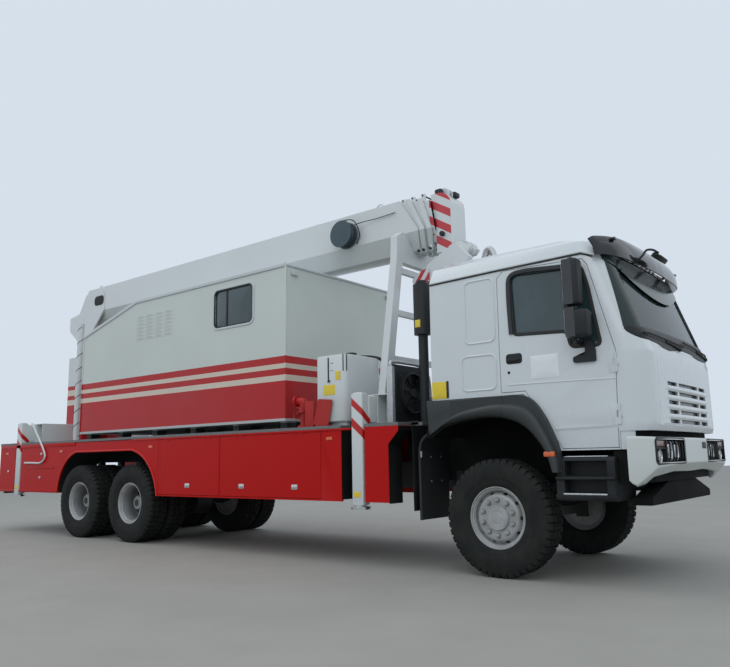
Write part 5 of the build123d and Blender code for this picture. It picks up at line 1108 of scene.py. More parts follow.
def bumper_shell():
    """Bumper: sections across by round, with the faces of the two lamp openings left out."""
    width = np.concatenate([[-1.25, -1.248, -1.24, -1.225, -1.205, -1.19, -1.173, -1.16, -LAMP_Y[1]],
                            np.linspace(-1.12, -0.42, 12), [-LAMP_Y[0], -0.36, -0.24, -0.12]])
    half = np.stack([np.interp(width, BUMPER[:, 1], column) for column in BUMPER.T], axis=1)
    half = np.vstack([half, BUMPER[-1]])
    line = np.vstack([half, half[-2::-1] * (1, -1, 1, 1, 1, -1, 1)])
    plan, top, low, chamfer = line[:, :2], line[:, 2], line[:, 3], line[:, 4:]
    run = np.gradient(plan, axis=0)
    inward = np.stack([-run[:, 1], run[:, 0]], axis=1) / np.linalg.norm(run, axis=1, keepdims=True)
    # Columns: inset, height from the top and from the bottom edge
    levels = [(0.06, top), (0.02, top), (0.006, top - 0.003), (0.0, top - 0.012), (0.0, np.full_like(top, LAMP_Z[1])),
              (0.0, np.full_like(top, LAMP_Z[0])), (0.0, low + 0.008), (0.002, low), (0.006, low - 0.004)]
    loops = [np.column_stack([plan + inset * inward, height]) for inset, height in levels]
    loops += [chamfer + (0, 0, 0.004), chamfer + np.pad(0.03 * inward, ((0, 0), (0, 1))),
              np.column_stack([plan + 0.06 * inward, low + 0.03])]
    points, faces = lofted(np.stack(loops, axis=1))
    width, height = np.abs(points[faces].mean(1)[:, 1:]).T
    front = points[faces][:, :, 0].min(1) > 5.84
    hole = front & (width > LAMP_Y[0]) & (width < LAMP_Y[1]) & (height > LAMP_Z[0]) & (height < LAMP_Z[1])
    return points, faces[~hole]


def face_x(y):
    """Length of the bumper's face at a width."""
    return np.interp(-np.abs(y), BUMPER[:, 1], BUMPER[:, 0])


piece("bumper_shell", "chassis", "bumper_paint", "bumper_white", bumper_shell(), replaced=("bumper",))
# Black filler behind the shell, painted shade for the space there, by length and width, and the under-run beam, by
# width and height
outline = rounded_outline([(5.62, -1.10), (5.70, -1.04), (5.735, -0.85), (5.745, 0), (5.735, 0.85), (5.70, 1.04),
                           (5.62, 1.10), (5.45, 1.10), (5.45, -1.10)], 0.03)
plates = [np.column_stack([outline, np.full(len(outline), z)]) for z in (0.90, 1.30, 1.375)]
beam = rounded_outline([(-0.97, 0.70), (-0.97, 0.765), (-0.45, 0.90), (0.45, 0.90), (0.97, 0.765), (0.97, 0.70)],
                       0.025)
beam_sections = [np.column_stack([np.full(len(beam), x), beam * scale + (0, shift)])
                 for x, scale, shift in ((5.56, 1.0, 0.0), (5.70, 1.0, 0.0), (5.72, 0.985, 0.012))]
piece("bumper_shade_and_beam", "chassis", "black_parts_and_shade", "trim_black", lofted(plates), lofted(beam_sections))
for side, word in SIDES:
    outer, inner = side * LAMP_Y[1], side * LAMP_Y[0]
    width, height = LAMP_Y[1] - LAMP_Y[0], LAMP_Z[1] - LAMP_Z[0]
    centre = np.array([(outer + inner) / 2, sum(LAMP_Z) / 2])
    # Dark pocket behind each lamp opening: painted shade in the recess
    pocket = []
    for depth, shrink in ((0.002, 0.0), (0.03, 0.01), (0.075, 0.03)):
        loop = corner_loop(width - shrink, height - shrink, 0.012) + centre
        pocket.append(np.column_stack([face_x(loop[:, 0]) - depth, loop]))
    back = np.broadcast_to(pocket[-1].mean(0), pocket[-1].shape)
    skin = np.array([*pocket, back])
    piece(f"lamp_pocket_shade_{word}", "chassis", "black_parts_and_shade", "trim_black", surface(skin, False, True))
    loop = corner_loop(width + 0.028, height + 0.024, 0.030, 6) + centre
    ring = np.column_stack([np.minimum(face_x(loop[:, 0]) - 0.002, 5.8635), loop])
    bars = [carried(ring, corner_loop(0.016, 0.022, 0.005), up=(1, 0, 0), ring=True)]
    for y in np.linspace(0.45, 0.80, 5):
        x = float(face_x(y)) - 0.010
        bars.append(carried([(x - 0.03, side * y, 1.070), (x, side * y, 1.10), (x, side * y, 1.17), (x, side * y, 1.24),
                             (x - 0.03, side * y, 1.270)], corner_loop(0.012, 0.012, 0.004), up=(0, 1, 0)))
    bars.append(slab((5.800, side * 0.872, 1.072), (5.858, side * 0.892, 1.268), 0.004, "z", 0.002))
    bars.append(slab((5.800, side * 0.892, 1.186), (5.850, side * 1.140, 1.200), 0.004, "y", 0.002))
    piece(f"lamp_guard_{word}", "chassis", "moulding", "trim_black", *bars)
    low = [turned(((-0.030, 0.0001), (-0.030, 0.03), (-0.010, 0.055), (0.010, 0.066), (0.016, 0.072), (0.010, 0.078),
                   (-0.02, 0.078)), (5.822, side * y, 1.168), "x", 1, 40) for y in (0.53, 0.73)]
    low.append(turned(((0.0, 0.050), (0.012, 0.053), (0.014, 0.058), (0.004, 0.060), (-0.03, 0.060)),
                      (5.826, side * 1.03, 1.128), "x", 1, 40))
    piece(f"lamp_bowls_{word}", "chassis", "bright_metal", "lamp_plastic", *low)
    glass = [turned(((-0.006, 0.070), (0.006, 0.055), (0.011, 0.030), (0.013, 0.0001)), (5.828, side * y, 1.168), "x",
                    1, 40)
             for y in (0.53, 0.73)]
    glass.append(turned(((0.0, 0.052), (0.010, 0.036), (0.014, 0.0001)), (5.828, side * 1.03, 1.128), "x", 1, 40))
    rear = slab((-5.855, side * 0.76, 0.78), (-5.80, side * 0.90, 0.90), 0.012, "x", 0.006)
    piece(f"lamp_lenses_{word}", "chassis", "lamp_glass", "lamp_plastic", *glass, rear,
          replaced=("lamps",) if side < 0 else ())
    turn_lens = slab((5.810, side * 0.900, 1.206), (5.848, side * 1.130, 1.262), 0.010, "x", 0.006)
    piece(f"turn_lens_{word}", "chassis", "lens_brown", "lamp_plastic", turn_lens)
    piece(f"lamp_reflector_{word}", "chassis", "lamp_glass", "lamp_plastic",
          slab((5.780, side * 0.420, 1.082), (5.800, side * 0.868, 1.258), 0.012, "x", 0.004))
    piece(f"rear_turn_lens_{word}", "chassis", "amber_lens", "lamp_plastic",
          slab((-5.855, side * 0.905, 0.78), (-5.80, side * 1.005, 0.90), 0.012, "x", 0.006))
    piece(f"tail_lens_{word}", "chassis", "red_lens", "lamp_plastic",
          slab((-5.855, side * 1.01, 0.78), (-5.80, side * 1.12, 0.90), 0.012, "x", 0.006))
bolts = [turned(((0, 0.013), (0.0015, 0.012), (0.002, 0.0001)), (float(face_x(y)) - 0.002, y, z), "x", 1, 14)
         for y, z in ((-0.34, 1.245), (-0.034, 1.245), (-0.34, 1.096), (-0.083, 1.096), (0.075, 1.096), (0.34, 1.096))]
piece("bumper_bolts", "chassis", "chassis_paint", "trim_black", *bolts,
      slab((5.8715, 0.195, 1.190), (5.8745, 0.345, 1.254), 0.012, "x", 0.0008))

# Cab corners below the front panel, in white beside the dark gap
for side, word in SIDES:
    width, height = np.meshgrid(np.linspace(1.129, 1.100, 14), np.linspace(1.190, 1.352, 4), indexing="ij")
    corner = np.stack([cab_front(width, 1.30) - 0.012, side * width, height], axis=-1)
    corner = np.concatenate([corner[:1] * (0, 1, 1) + (5.547, 0, 0), corner])
    piece(f"nose_corner_{word}", "chassis", "cab_paint", "cab_white", surface(corner))

# Flares round the front wheels, wheel wells darkened with sheets of painted shade, mudguards and steps
ALONG = 70
# Lines in length and height: opening, crest of the raised bulge, edge on the cab's panel
OPENING = ((3.570, 1.350), (3.664, 1.407), (3.767, 1.459), (4.029, 1.514), (4.340, 1.526), (4.629, 1.442),
           (4.839, 1.218), (4.919, 0.994))
BULGE = ((3.572, 1.356), (3.733, 1.444), (3.903, 1.569), (4.161, 1.629), (4.451, 1.647), (4.722, 1.579),
         (4.875, 1.368), (4.980, 1.116), (4.992, 0.994))
PANEL = ((3.560, 1.735), (3.800, 1.728), (4.039, 1.721), (4.456, 1.726), (4.701, 1.702), (4.858, 1.521),
         (4.975, 1.240), (5.017, 0.994))


def flare(side):
    """Wheel flare: along by across, between three even lines; across it rises from the lip to the crest and drops."""
    lines = [evenly(smooth_path(line, 6), ALONG) for line in (OPENING, BULGE, PANEL)]
    # Columns: share towards the crest line, share on towards the panel line, width
    across = ((0, 0, 1.140), (0, 0, 1.186), (0.04, 0, 1.206), (0.12, 0, 1.226), (0.26, 0, 1.240), (0.42, 0, 1.247),
              (0.58, 0, 1.2495), (0.74, 0, 1.246), (0.88, 0, 1.236), (0.97, 0, 1.220), (1, 0.02, 1.206),
              (1, 0.08, 1.200), (1, 0.5, 1.202), (1, 0.96, 1.206), (1, 1, 1.200), (1, 1, 1.130))
    loops = []
    for crest, panel, width in across:
        flat = lines[0] + (lines[1] - lines[0]) * crest + (lines[2] - lines[1]) * panel
        loops.append(flat_loop(flat, "y", side * width))
    return lofted(np.stack(loops, axis=1))


# Columns: width, height, 1 where the face is a recess between the two end plates
STEP = np.array([
    (0.620, 1.130, 0), (1.150, 1.130, 0), (1.172, 1.126, 0), (1.184, 1.112, 0), (1.188, 1.096, 0), (1.190, 1.090, 1),
    (1.190, 0.968, 1), (1.202, 0.962, 0), (1.224, 0.953, 0), (1.230, 0.941, 0), (1.224, 0.929, 0), (1.212, 0.922, 1),
    (1.212, 0.816, 1), (1.216, 0.806, 0), (1.232, 0.797, 0), (1.236, 0.775, 0), (1.228, 0.754, 0), (1.208, 0.745, 0),
    (0.760, 0.745, 0), (0.700, 0.900, 0),
])
# Columns: length, inset of the whole section, share of the recess's depth
STEP_STATIONS = ((4.935, 0.05, 0), (4.955, 0.012, 0), (4.985, 0.002, 0), (5.035, 0, 0), (5.045, 0, 1), (5.415, 0, 1),
                 (5.425, 0, 0), (5.470, 0.002, 0), (5.492, 0.012, 0), (5.500, 0.030, 0))
CURL = ((3.428, 0.510), (3.428, 0.80), (3.428, 1.15), (3.438, 1.27), (3.470, 1.335), (3.530, 1.380), (3.600, 1.398))
for side, word in SIDES:
    sections = [np.column_stack([np.full(len(STEP), x), side * (STEP[:, 0] - inset - 0.11 * deep * STEP[:, 2]),
                                 STEP[:, 1]]) for x, inset, deep in STEP_STATIONS]
    piece(f"flare_{word}", "chassis", "flare_plastic", "trim_black", flare(side),
          replaced=("cab_trim",) if side < 0 else ())
    piece(f"steps_{word}", "chassis", "step_plastic", "trim_black", lofted(sections))
    treads = [slab((5.02, side * 1.085, 1.128), (5.43, side * 1.165, 1.139), 0.005, "x", 0.002),
              slab((5.03, side * 1.110, 0.796), (5.43, side * 1.2365, 0.812), 0.005, "x", 0.002)]
    piece(f"step_treads_{word}", "chassis", "bright_metal", "trim_black", *treads)
    # Dark sheets over, inside and behind the front wheel, in the notch before the leg and in a strip before the cab:
    # painted shade
    line = evenly(smooth_path(OPENING, 6), ALONG) + (0.0, 0.006)
    notch = 2.4025 if side < 0 else 2.7450
    well = np.stack([np.repeat(line[:, None, 0], 4, 1), np.tile(side * np.array([0.50, 1.19, 1.19, 0.50]), (ALONG, 1)),
                     line[:, None, 1] + np.array([0, 0, 0.006, 0.006])], axis=-1)
    curl = smooth_path(CURL, 5)
    guard = carried(flat_loop(curl, "y", side * 0.895), corner_loop(0.014, 0.55, 0.004), up=(0, 1, 0))
    piece(f"wheel_well_shade_{word}", "chassis", "black_parts_and_shade", "trim_black",
          surface(well, False, True),
          slab((2.98, side * 0.488, 0.90), (5.0, side * 0.500, 1.70), 0.004, "y", 0.001),
          slab((3.345, side * 0.50, 0.60), (3.357, side * 1.18, 1.49), 0.004, "x", 0.001),
          slab((notch, side * 0.80, 0.70), (notch + 0.003, side * 1.235, 1.488), 0.003, "x", 0.001),
          carried(flat_loop([(3.079, 0.67), (3.079, 1.301), (3.216, 1.441), (3.216, 1.49)], "y", side * 1.128),
                  corner_loop(0.003, 0.238, 0.001), up=(0, 1, 0)))
    lip = carried(flat_loop(curl, "y", side * 1.163), corner_loop(0.030, 0.022, 0.006), up=(0, 1, 0))
    piece(f"mudguard_{word}", "chassis", "moulding", "trim_black", guard, lip)
    rivets = [turned(((0, 0.008), (0.004, 0.006), (0.005, 0.0001)), (3.436, side * y, z), "x", 1, 12)
              for y, z in ((0.97, 1.155), (0.77, 1.155), (0.97, 0.90), (0.77, 0.90))]
    piece(f"mudguard_rivets_{word}", "chassis", "galvanised", "trim_black", *rivets)
    piece(f"mudguard_tag_{word}", "chassis", "blank_white", "cab_white",
          slab((3.442, side * 1.152, 1.150), (3.446, side * 1.172, 1.215), 0.003, "x", 0.001))

# Tank dressing: skin with one sharp and one round corner, gauge, blank plates, straps, cap and hoses
corners = np.array([(1.947, -1.150), (2.399, -1.150), (2.399, -0.450), (1.947, -0.450)])
outline = rounded_outline(corners, np.array([[0.03], [0.10], [0.10], [0.03]]), 8)
# Columns: height, inset of the outline
TANK_LEVELS = ((1.577, 0.02), (1.585, 0.006), (1.60, 0.0), (2.350, 0.0), (2.364, 0.006), (2.371, 0.022))
middle = outline.mean(0)
tank = [np.column_stack([middle + (outline - middle) * (1 - inset / 0.35), np.full(len(outline), z)])
        for z, inset in TANK_LEVELS]
piece("tank_skin", "chassis", "crane_paint", "tank_white", lofted(tank),
      *(slab((1.99, y - 0.03, DECK_TOP), (2.356, y + 0.03, 1.58), 0.004, "x", 0.002) for y in (-1.05, -0.55)),
      replaced=("oil_tank",))
gauge = [slab((2.130, -1.158, 2.07), (2.148, -1.149, 2.34), 0.006, "z", 0.003),
         slab((2.132, -1.164, 2.045), (2.165, -1.149, 2.07), 0.008, "y", 0.003)]
gauge += [slab((2.175, -1.1525, z - 0.003), (2.215, -1.149, z + 0.003), 0.002, "x", 0.001) for z in (2.18, 2.27)]
straps = [slab((x - 0.006, y - 0.004, 2.17), (x + 0.006, y + 0.004, 2.366), 0.003, "z", 0.001)
          for x, y in ((2.360, -1.140), (2.390, -1.112))]
lid = turned(((0, 0.07), (0.03, 0.07), (0.036, 0.064), (0.05, 0.062), (0.055, 0.04), (0.055, 0.0001)),
             (2.24, -0.84, 2.365), "z")
piece("tank_fittings", "chassis", "seal_rubber", "trim_black", *gauge, *straps, lid)
plates = [slab((2.055, -1.1525, 1.895), (2.240, -1.149, 2.015), 0.006, "y", 0.001),
          slab((2.248, -1.1525, 2.065), (2.325, -1.149, 2.170), 0.006, "y", 0.001)]
piece("tank_plates", "chassis", "yellow_plate", "tank_white", *plates)
hose = np.array([(2.28, -0.78, 2.378), (2.36, -0.60, 2.386), (2.405, -0.49, 2.36), (2.42, -0.44, 2.28),
                 (2.422, -0.43, 2.10), (2.42, -0.43, 1.60)])
piece("tank_hoses", "chassis", "hose_rubber", "trim_black",
      *(tube(hose + (0, shift, 0), 0.014, 10, (1, 0.2, 0.1), 8) for shift in (0.0, 0.035)))

# Cooler: core and fan that face forward, post, pipe over the top
FAN = np.array([3.010, -0.70, 1.88])
BLADES = 7
cooler = [slab((2.955, -1.036, DECK_TOP), (3.012, -0.455, 2.195), 0.012, "x", 0.006)]
cooler += [slab((2.94, y - 0.02, DECK_TOP), (3.03, y + 0.02, 2.16), 0.006, "z", 0.003) for y in (-1.016, -0.475)]
shroud = turned(((0, 0.236), (0.050, 0.232), (0.056, 0.224), (0.050, 0.216), (0.004, 0.216), (0, 0.236)), FAN, "x", 1,
                64, True)
guard = [turned(((0.050, r - 0.003), (0.056, r), (0.050, r + 0.003)), FAN, "x", 1, 48, True)
         for r in (0.06, 0.10, 0.14, 0.18)]
hub = turned(((0, 0.06), (0.036, 0.06), (0.044, 0.05), (0.044, 0.0001)), FAN, "x", 1, 32)


def fan_blade(turn):
    """Fan blade: radius by chord, twisted, x = pitch * chord."""
    r, chord = np.meshgrid(np.linspace(0.055, 0.210, 8), np.linspace(-1, 1, 6), indexing="ij")
    swing = turn + chord * 0.30 * (0.6 + r * 2)
    return surface(FAN + np.stack([0.022 + 0.014 * chord, r * np.cos(swing), r * np.sin(swing)], -1))


board = slab((1.78, -1.180, DECK_TOP), (1.92, -1.160, 1.84), 0.004, "z", 0.002)
rail_box = slab((2.93, -1.0, 1.50), (3.31, -0.95, 1.545), 0.004, "x", 0.002)
piece("cooler_body", "chassis", "moulding", "fittings_black", *cooler, shroud, *guard, hub, rail_box,
      *(fan_blade(turn) for turn in np.linspace(0, 2 * np.pi, BLADES, endpoint=False)), replaced=("deck_fittings",))
piece("cooler_core", "chassis", "core_fins", "fittings_black",
      slab((3.0095, -1.0, 1.57), (3.0145, -0.49, 1.66), 0.004, "x", 0.001),
      slab((3.0095, -1.0, 2.10), (3.0145, -0.49, 2.14), 0.004, "x", 0.001))
post = slab((2.955, -1.095, DECK_TOP), (3.035, -1.042, 2.165), 0.008, "z", 0.004)
pipe = flat_loop([(-1.075, 2.15), (-1.07, 2.205), (-1.00, 2.222), (-0.75, 2.225), (-0.52, 2.22), (-0.44, 2.19),
                  (-0.405, 2.10), (-0.40, 1.80)], "x", 3.00)
# Air intake on the left side, bent over at its top
intake = flat_loop([(3.300, 1.50), (3.300, 2.20), (3.310, 3.00), (3.330, 3.60), (3.345, 3.72), (3.385, 3.80),
                    (3.430, 3.79), (3.465, 3.72), (3.470, 3.66)], "y", 0.59)
bell = turned(((0.0, 0.046), (0.03, 0.060), (0.06, 0.068), (0.062, 0.060), (0.02, 0.040)), (3.470, 0.59, 3.68), "z",
              -1, 32)
piece("cooler_pipes", "chassis", "galvanised", "ram_chrome", post, tube(pipe, 0.020, 14, (1, 0, 0)),
      tube(intake, 0.045, 20, (0, 1, 0)), bell)
piece("cooler_hoses", "chassis", "galvanised", "fittings_black",
      *(tube([(3.04, y, 2.10), (3.05, y + 0.01, 1.95), (3.045, y + 0.015, 1.75), (3.04, y + 0.02, 1.60)], 0.011, 10,
             (1, 0, 0)) for y in (-0.40, -0.36)))
# Red valve riser with its elbow, flange, hand wheel and slanted plate
riser = turned(((0, 0.078), (0.03, 0.078), (0.031, 0.044), (0.19, 0.044), (0.191, 0.073), (0.215, 0.073),
                (0.2155, 0.052), (0.29, 0.052)), (1.68, -1.09, DECK_TOP), "z", 1, 40)
elbow = tube([(1.68, -1.09, 1.80), (1.678, -1.09, 1.83), (1.655, -1.09, 1.850), (1.60, -1.09, 1.855),
              (1.575, -1.09, 1.855)], 0.051, 24, (0, 1, 0))
flange = turned(((0, 0.051), (0.001, 0.078), (0.026, 0.078), (0.027, 0.035), (0.004, 0.03), (0.004, 0.0001)),
                (1.585, -1.09, 1.852), "x", -1, 40)
wheel = turned(((0, 0.070), (0.006, 0.076), (0.012, 0.070), (0.006, 0.064)), (1.68, -1.20, 1.70), "y", -1, 32, True)
stem = turned(((0, 0.012), (0.10, 0.012), (0.10, 0.0001)), (1.68, -1.125, 1.70), "y", -1, 12)
plate = sheet_between(rounded_outline([(1.921, 1.558), (2.004, 1.856), (2.221, 1.836), (2.161, 1.545)], 0.012), "y",
                      -1.186, -1.178)
foot = slab((1.95, -1.184, 1.526), (2.14, -1.10, 1.56), 0.004, "x", 0.002)
piece("valve_elbow", "chassis", "valve_paint", "fittings_black", riser, elbow, flange, wheel, stem, plate, foot, board)

# Boom rest: the node's frame with its legs drawn in towards the middle
source = frame["nodes"]["boom_rest"].data
points = np.zeros(len(source.vertices) * 3)
source.vertices.foreach_get("co", points)
points = points.reshape(-1, 3)
outside = np.clip((np.abs(points[:, 1]) - 0.25) / 0.1, 0, 1)
drawn = np.interp(points[:, 2], (1.87, 3.66, 4.0), (-0.14, 0.0, 0.02)) * outside
points[:, 1] += np.sign(points[:, 1]) * drawn
faces = np.array([tuple(polygon.vertices) for polygon in source.polygons])
piece("boom_rest_frame", "chassis", "crane_paint", "crane_white", (points, faces), smooth=30, replaced=("boom_rest",))

# Boom dressing: reel, guide wire, hoses, collar lugs, lamps, sheaves
reel = turned(((0.022, 0.0001), (0.022, 0.178), (0.026, 0.183), (0.038, 0.183), (0.042, 0.178), (0.044, 0.150),
               (0.075, 0.150), (0.080, 0.158), (0.085, 0.150), (0.105, 0.146), (0.110, 0.154), (0.115, 0.146),
               (0.138, 0.142), (0.148, 0.136), (0.150, 0.182), (0.154, 0.185), (0.166, 0.183), (0.168, 0.12),
               (0.168, 0.0001)), (1.74, -0.27, 4.13), "y", -1, 72)
piece("reel_drum", "boom", "reel_paint", "fittings_black", reel)
piece("reel_wire", "boom", "hose_rubber", "trim_black",
      tube([(1.86, -0.375, 4.22), (2.05, -0.345, 4.245), (2.25, -0.30, 4.26), (2.55, -0.292, 4.275)], 0.006),
      tube([(1.60, -0.30, 4.32), (1.66, -0.36, 4.335), (1.90, -0.36, 4.30), (1.96, -0.30, 4.12), (1.90, -0.29, 3.99)],
           0.007, 8, (0, 1, 0)))
# Hoses along the boom's top, by length and height, and the clips that hold them
BOOM_LINE = ((-4.70, 4.435), (-3.2, 4.436), (-1.5, 4.435), (0.4, 4.436), (2.0, 4.435), (2.50, 4.436))
lines = [tube(flat_loop(BOOM_LINE, "y", y), radius, steps=4)
         for y, radius in ((-0.17, 0.013), (-0.13, 0.013), (0.12, 0.016))]
clips = [slab((x - 0.03, -0.20, 4.418), (x + 0.03, -0.10, 4.455), 0.006, "x", 0.003)
         for x in (-4.3, -3.4, -2.5, -1.6, -0.7, 0.2, 1.1, 2.0)]
piece("boom_lines", "boom", "hose_rubber", "trim_black", *lines, *clips)
# Columns: body, length at the top, length at the keel's corner
COLLARS = (("boom", 2.575, 2.81), ("boom_section_2", 2.725, 2.885), ("boom_section_3", 2.885, 2.985))
for body, top, corner in COLLARS:
    lugs = [slab((top - 0.03, y - 0.018, 4.38), (top + 0.03, y + 0.018, 4.49), 0.012, "y", 0.004)
            for y in (-0.12, 0.12)]
    lugs += [slab((corner - 0.02, side * 0.10, 3.72), (corner + 0.02, side * 0.14, 3.80), 0.01, "y", 0.003)
             for side in (-1, 1)]
    pins = [turned(((0, 0.016), (0.03, 0.016), (0.034, 0.012), (0.034, 0.0001)), (corner, side * 0.14, 3.742), "y",
                   side, 16) for side in (-1, 1)]
    pins.append(tube([(top, -0.15, 4.465), (top, 0, 4.468), (top, 0.15, 4.465)], 0.011, 10, steps=3))
    piece(f"{body}_lugs", body, "crane_paint", "crane_white", *lugs)
    piece(f"{body}_pins", body, "chassis_paint", "trim_black", *pins)
sheaves = [turned(((-0.012, 0.0001), (-0.012, 0.085), (-0.006, 0.078), (0.006, 0.078), (0.012, 0.085), (0.012, 0.0001)),
                  (3.16, y, 4.425), "y", 1, 32) for y in (-0.07, 0.0, 0.07)]
head = [turned(((0, 0.03), (0.035, 0.034), (0.045, 0.028), (0.045, 0.0001)), (3.18, -0.155, 3.885), "y", -1, 20),
        slab((3.06, -0.13, 4.42), (3.16, -0.02, 4.50), 0.02, "y", 0.008),
        slab((3.18, 0.02, 4.40), (3.28, 0.12, 4.47), 0.02, "y", 0.008)]
piece("head_lamps", "boom_section_4", "moulding", "lamp_plastic", *head)
piece("head_sheaves", "boom_section_4", "galvanised", "ram_chrome", *sheaves,
      turned(((-0.11, 0.0001), (-0.11, 0.088), (-0.09, 0.088), (-0.085, 0.07), (-0.03, 0.07), (-0.025, 0.09),
              (0.025, 0.09), (0.03, 0.07), (0.085, 0.07), (0.09, 0.088), (0.11, 0.088), (0.11, 0.0001)),
             (3.42, 0, 3.68), "y", 1, 40))
arm_end = rounded_outline([(2.884, 3.438), (2.766, 3.352), (2.766, 3.297), (3.004, 3.297), (3.014, 3.464)], 0.02)
piece("arm_end", "boom_section_4", "arm_paint", "crane_white", sheet_between(arm_end, "y", -0.253, -0.097))
# Dark plate in the boom's root slot: painted shade inside it
piece("boom_root_slot", "boom", "seal_rubber", "trim_black",
      slab((-4.54, -0.293, 4.08), (-4.23, -0.287, 4.26), 0.07, "y", 0.002))

# Blank door plate, exhaust plate
piece("door_plate", "door_right", "blank_white", "cab_white",
      slab((4.735, -1.142, 1.872), (5.020, -1.139, 2.095), 0.006, "y", 0.001))
swing = np.linspace(-1.95, -1.25, 10)
bend = np.stack([3.27 + 0.1025 * np.cos(swing), -0.80 + 0.1025 * np.sin(swing), np.full(10, 2.64)], axis=1)
piece("exhaust_plate", "chassis", "yellow_plate", "fittings_black", carried(bend, corner_loop(0.003, 0.085, 0.001)))


# Column dressing: hoses wound down its side, cable tube with its dark winding
def wound(x, y, radius, turn, phase, start, rise, count):
    """Helix: point = (x, y) + radius * (cos, sin)(turn * t + phase), at height start + rise * t, for t from 0 to 1."""
    t = np.linspace(0, 1, count)
    return np.stack([x + radius * np.cos(turn * t + phase), y + radius * np.sin(turn * t + phase), start + rise * t],
                    axis=1)


hoses = (carried(wound(-4.56, y, 0.014, 20, phase, 3.2, -1.45, 60), round_bar(0.012, 8), up=(1, 0, 0))
         for y, phase in ((-0.30, 0.0), (0.30, 2.0)))
piece("column_hoses", "chassis", "hose_rubber", "trim_black", *hoses)
TUBE_X, TUBE_Y = -4.42, -0.60
piece("cable_tube", "chassis", "crane_paint", "crane_white",
      carried([(TUBE_X, TUBE_Y, z) for z in (DECK_TOP, 2.5, 3.68)], round_bar(0.055, 24), up=(0, 1, 0)))
piece("cable_tube_marks", "chassis", "seal_rubber", "trim_black",
      carried(wound(TUBE_X, TUBE_Y, 0.0545, 50, 0, 1.62, 2.0, 160), round_bar(0.006, 6)))


# Cab interior: crowned seat pads on bases, dashboard, steering wheel
SEAT_Y = 0.62


def power(value):
    """Value from -1 to 1 with its sign kept and its size raised to a power below 1, which squares a circle."""
    return np.sign(value) * np.abs(value) ** 0.42


def seat_pad(middle, half, crown, face, channels=(-0.45, 0.45)):
    """Pad: rounded box whose sides draw in between its corners, with a crowned face and sewn channels down it."""
    lift, turn = np.meshgrid(np.linspace(-np.pi / 2, np.pi / 2, 41), np.linspace(0, 2 * np.pi, 72, endpoint=False),
                             indexing="ij")
    u, v, w = power(np.cos(lift)) * power(np.cos(turn)), power(np.cos(lift)) * power(np.sin(turn)), power(np.sin(lift))
    swell = crown * (1 - u**2) * (1 - v**2) * (w > 0)
    dip = sum(0.007 * np.exp(-(((v - place) / 0.04) ** 2)) for place in channels) * np.clip(w * 4 - 3, 0, 1)
    along, across = half[0] * u * (0.95 + 0.05 * v**2), half[1] * v * (0.95 + 0.05 * u**2)
    out = half[2] * w + swell - dip
    frame_lines = np.array(face, float)
    points = np.array(middle) + along[..., None] * frame_lines[0] + out[..., None] * frame_lines[1]
    points[..., 1] += across
    return surface(points, False, True)


# Directions of a pad's length and of its face: a seat lies flat, a backrest stands and leans back 7 degrees
LYING = ((1, 0, 0), (0, 0, 1))
STANDING = ((-0.122, 0, 0.9925), (0.9925, 0, 0.122))
for side, word in SIDES:
    y = side * SEAT_Y
    seat = seat_pad((4.585, y, 2.000), (0.245, 0.245, 0.065), 0.016, LYING)
    rest = seat_pad((4.345, y, 2.375), (0.335, 0.240, 0.052), 0.018, STANDING)
    head = seat_pad((4.292, y, 2.790), (0.075, 0.130, 0.040), 0.010, STANDING, ())
    pads = piece(f"seat_pads_{word}", "chassis", "interior_cloth", "trim_black", seat, rest, head, smooth=60,
                 replaced=("cab_interior",) if side < 0 else ())
    base = slab((4.36, y - 0.21, 1.787), (4.80, y + 0.21, 1.945), 0.03, "z", 0.01)
    rods = [carried([(4.305, y + d, 2.66), (4.299, y + d, 2.70), (4.294, y + d, 2.74)], round_bar(0.007, 8),
                    up=(0, 1, 0))
            for d in (-0.06, 0.06)]
    piece(f"seat_base_{word}", "chassis", "moulding", "trim_black", base, *rods)
section = rounded_outline([(5.250, 2.120), (5.285, 1.95), (5.310, 1.70), (5.630, 1.70), (5.630, 2.180),
                           (5.36, 2.215)], 0.05)
across = np.concatenate([[-1.03, -1.02], np.linspace(-1.0, 1.0, 41), [1.02, 1.03]])
hood = 0.055 * np.exp(-(((across - SEAT_Y) / 0.20) ** 4))[:, None] * np.clip((section[None, :, 1] - 2.05) / 0.1, 0, 1)
hood = hood * np.clip((5.50 - section[None, :, 0]) / 0.1, 0, 1)
inset = 1 - 0.02 * (np.abs(across) > 1.025)[:, None]
dash = np.stack([section[None, :, 0] + 0 * hood, across[:, None] + 0 * hood, section[None, :, 1] * inset + hood],
                axis=-1)
piece("dashboard", "chassis", "moulding", "trim_black", lofted(dash))
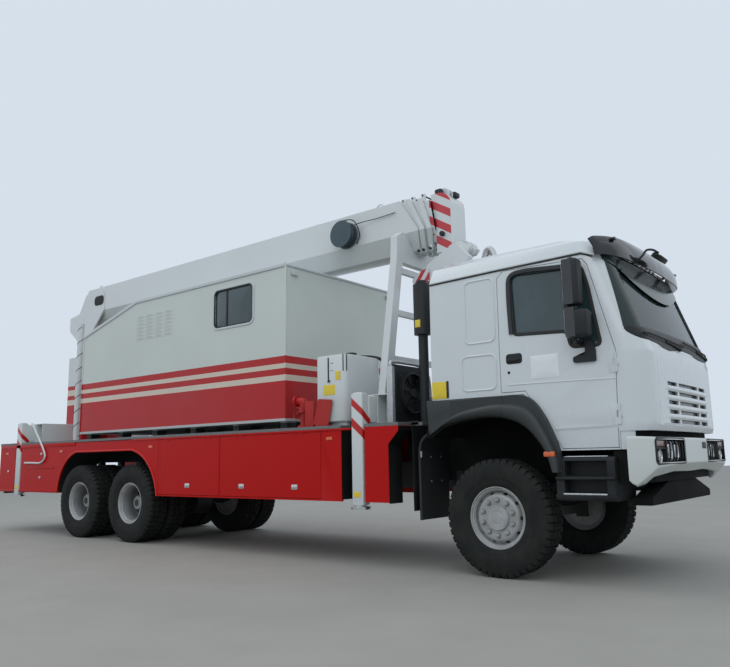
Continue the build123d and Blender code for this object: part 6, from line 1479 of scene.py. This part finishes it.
# Steering wheel tilted 25 degrees: its plane's rise and its axis
RISE, AXIS = np.array([0.9063, 0, 0.4226]), np.array([-0.4226, 0, 0.9063])
spin = np.linspace(0, 2 * np.pi, 48, endpoint=False)[:, None]
rim = np.array([5.180, SEAT_Y, 2.270]) + 0.215 * (np.cos(spin) * RISE + np.sin(spin) * np.array([0, 1, 0]))
spokes = [carried([(5.180, SEAT_Y + d, 2.270), (5.184, SEAT_Y + 0.5 * d, 2.262), (5.187, SEAT_Y, 2.255)],
                  corner_loop(0.024, 0.012, 0.005)) for d in (-0.205, 0.205)]
column = carried([(5.187, SEAT_Y, 2.255), (5.26, SEAT_Y, 2.13), (5.33, SEAT_Y, 2.00)], round_bar(0.028, 16), (0, 1, 0))
hub = seat_pad((5.184, SEAT_Y, 2.268), (0.055, 0.060, 0.016), 0.004, (RISE, AXIS), ())
piece("steering_wheel", "chassis", "moulding", "trim_black", carried(rim, round_bar(0.016, 12), AXIS, True), *spokes,
      column, hub)


# Floor, sky light and soft lamps
floor = bpy.data.meshes.new("floor")
floor.from_pydata([(-60, -60, 0), (60, -60, 0), (60, 60, 0), (-60, 60, 0)], [], [(0, 1, 2, 3)])
ground = Finish("floor_paint", roughness=0.9)
grain = ground.noise(1.2, 6.0)
ground.feed(base_color=ground.mix(grain, (0.29, 0.28, 0.25), (0.36, 0.35, 0.315)))
floor.materials.append(ground.material)
floor_item = bpy.data.objects.new("floor", floor)
bpy.context.scene.collection.objects.link(floor_item)

world = bpy.data.worlds.new("sky")
world.use_nodes = True
backdrop = world.node_tree.nodes["Background"]
backdrop.inputs["Color"].default_value = (0.84, 0.93, 1.04, 1.0)
backdrop.inputs["Strength"].default_value = 0.80
bpy.context.scene.world = world
bpy.context.scene.view_settings.view_transform = "Standard"
# Columns: name, place, aim, size, power
LAMPS = (
    ("key", (9, -12, 12), (0, 0, 1.5), 9.0, 360),
    ("fill", (14, 8, 9), (2, 0, 1.5), 9.0, 120),
    ("over", (-4, -3, 14), (-2, 0, 2), 12.0, 440),
)
for name, place, target, size, power in LAMPS:
    data = bpy.data.lights.new(name, "AREA")
    data.size, data.energy = size, power
    lamp = bpy.data.objects.new(name, data)
    bpy.context.scene.collection.objects.link(lamp)
    back = np.array(place, float) - np.array(target, float)
    back /= np.linalg.norm(back)
    right = np.cross((0, 0, 1), back)
    right /= np.linalg.norm(right)
    turn = np.eye(4)
    turn[:3, 0], turn[:3, 1], turn[:3, 2], turn[:3, 3] = right, np.cross(back, right), back, place
    lamp.matrix_world = Matrix(turn.tolist())
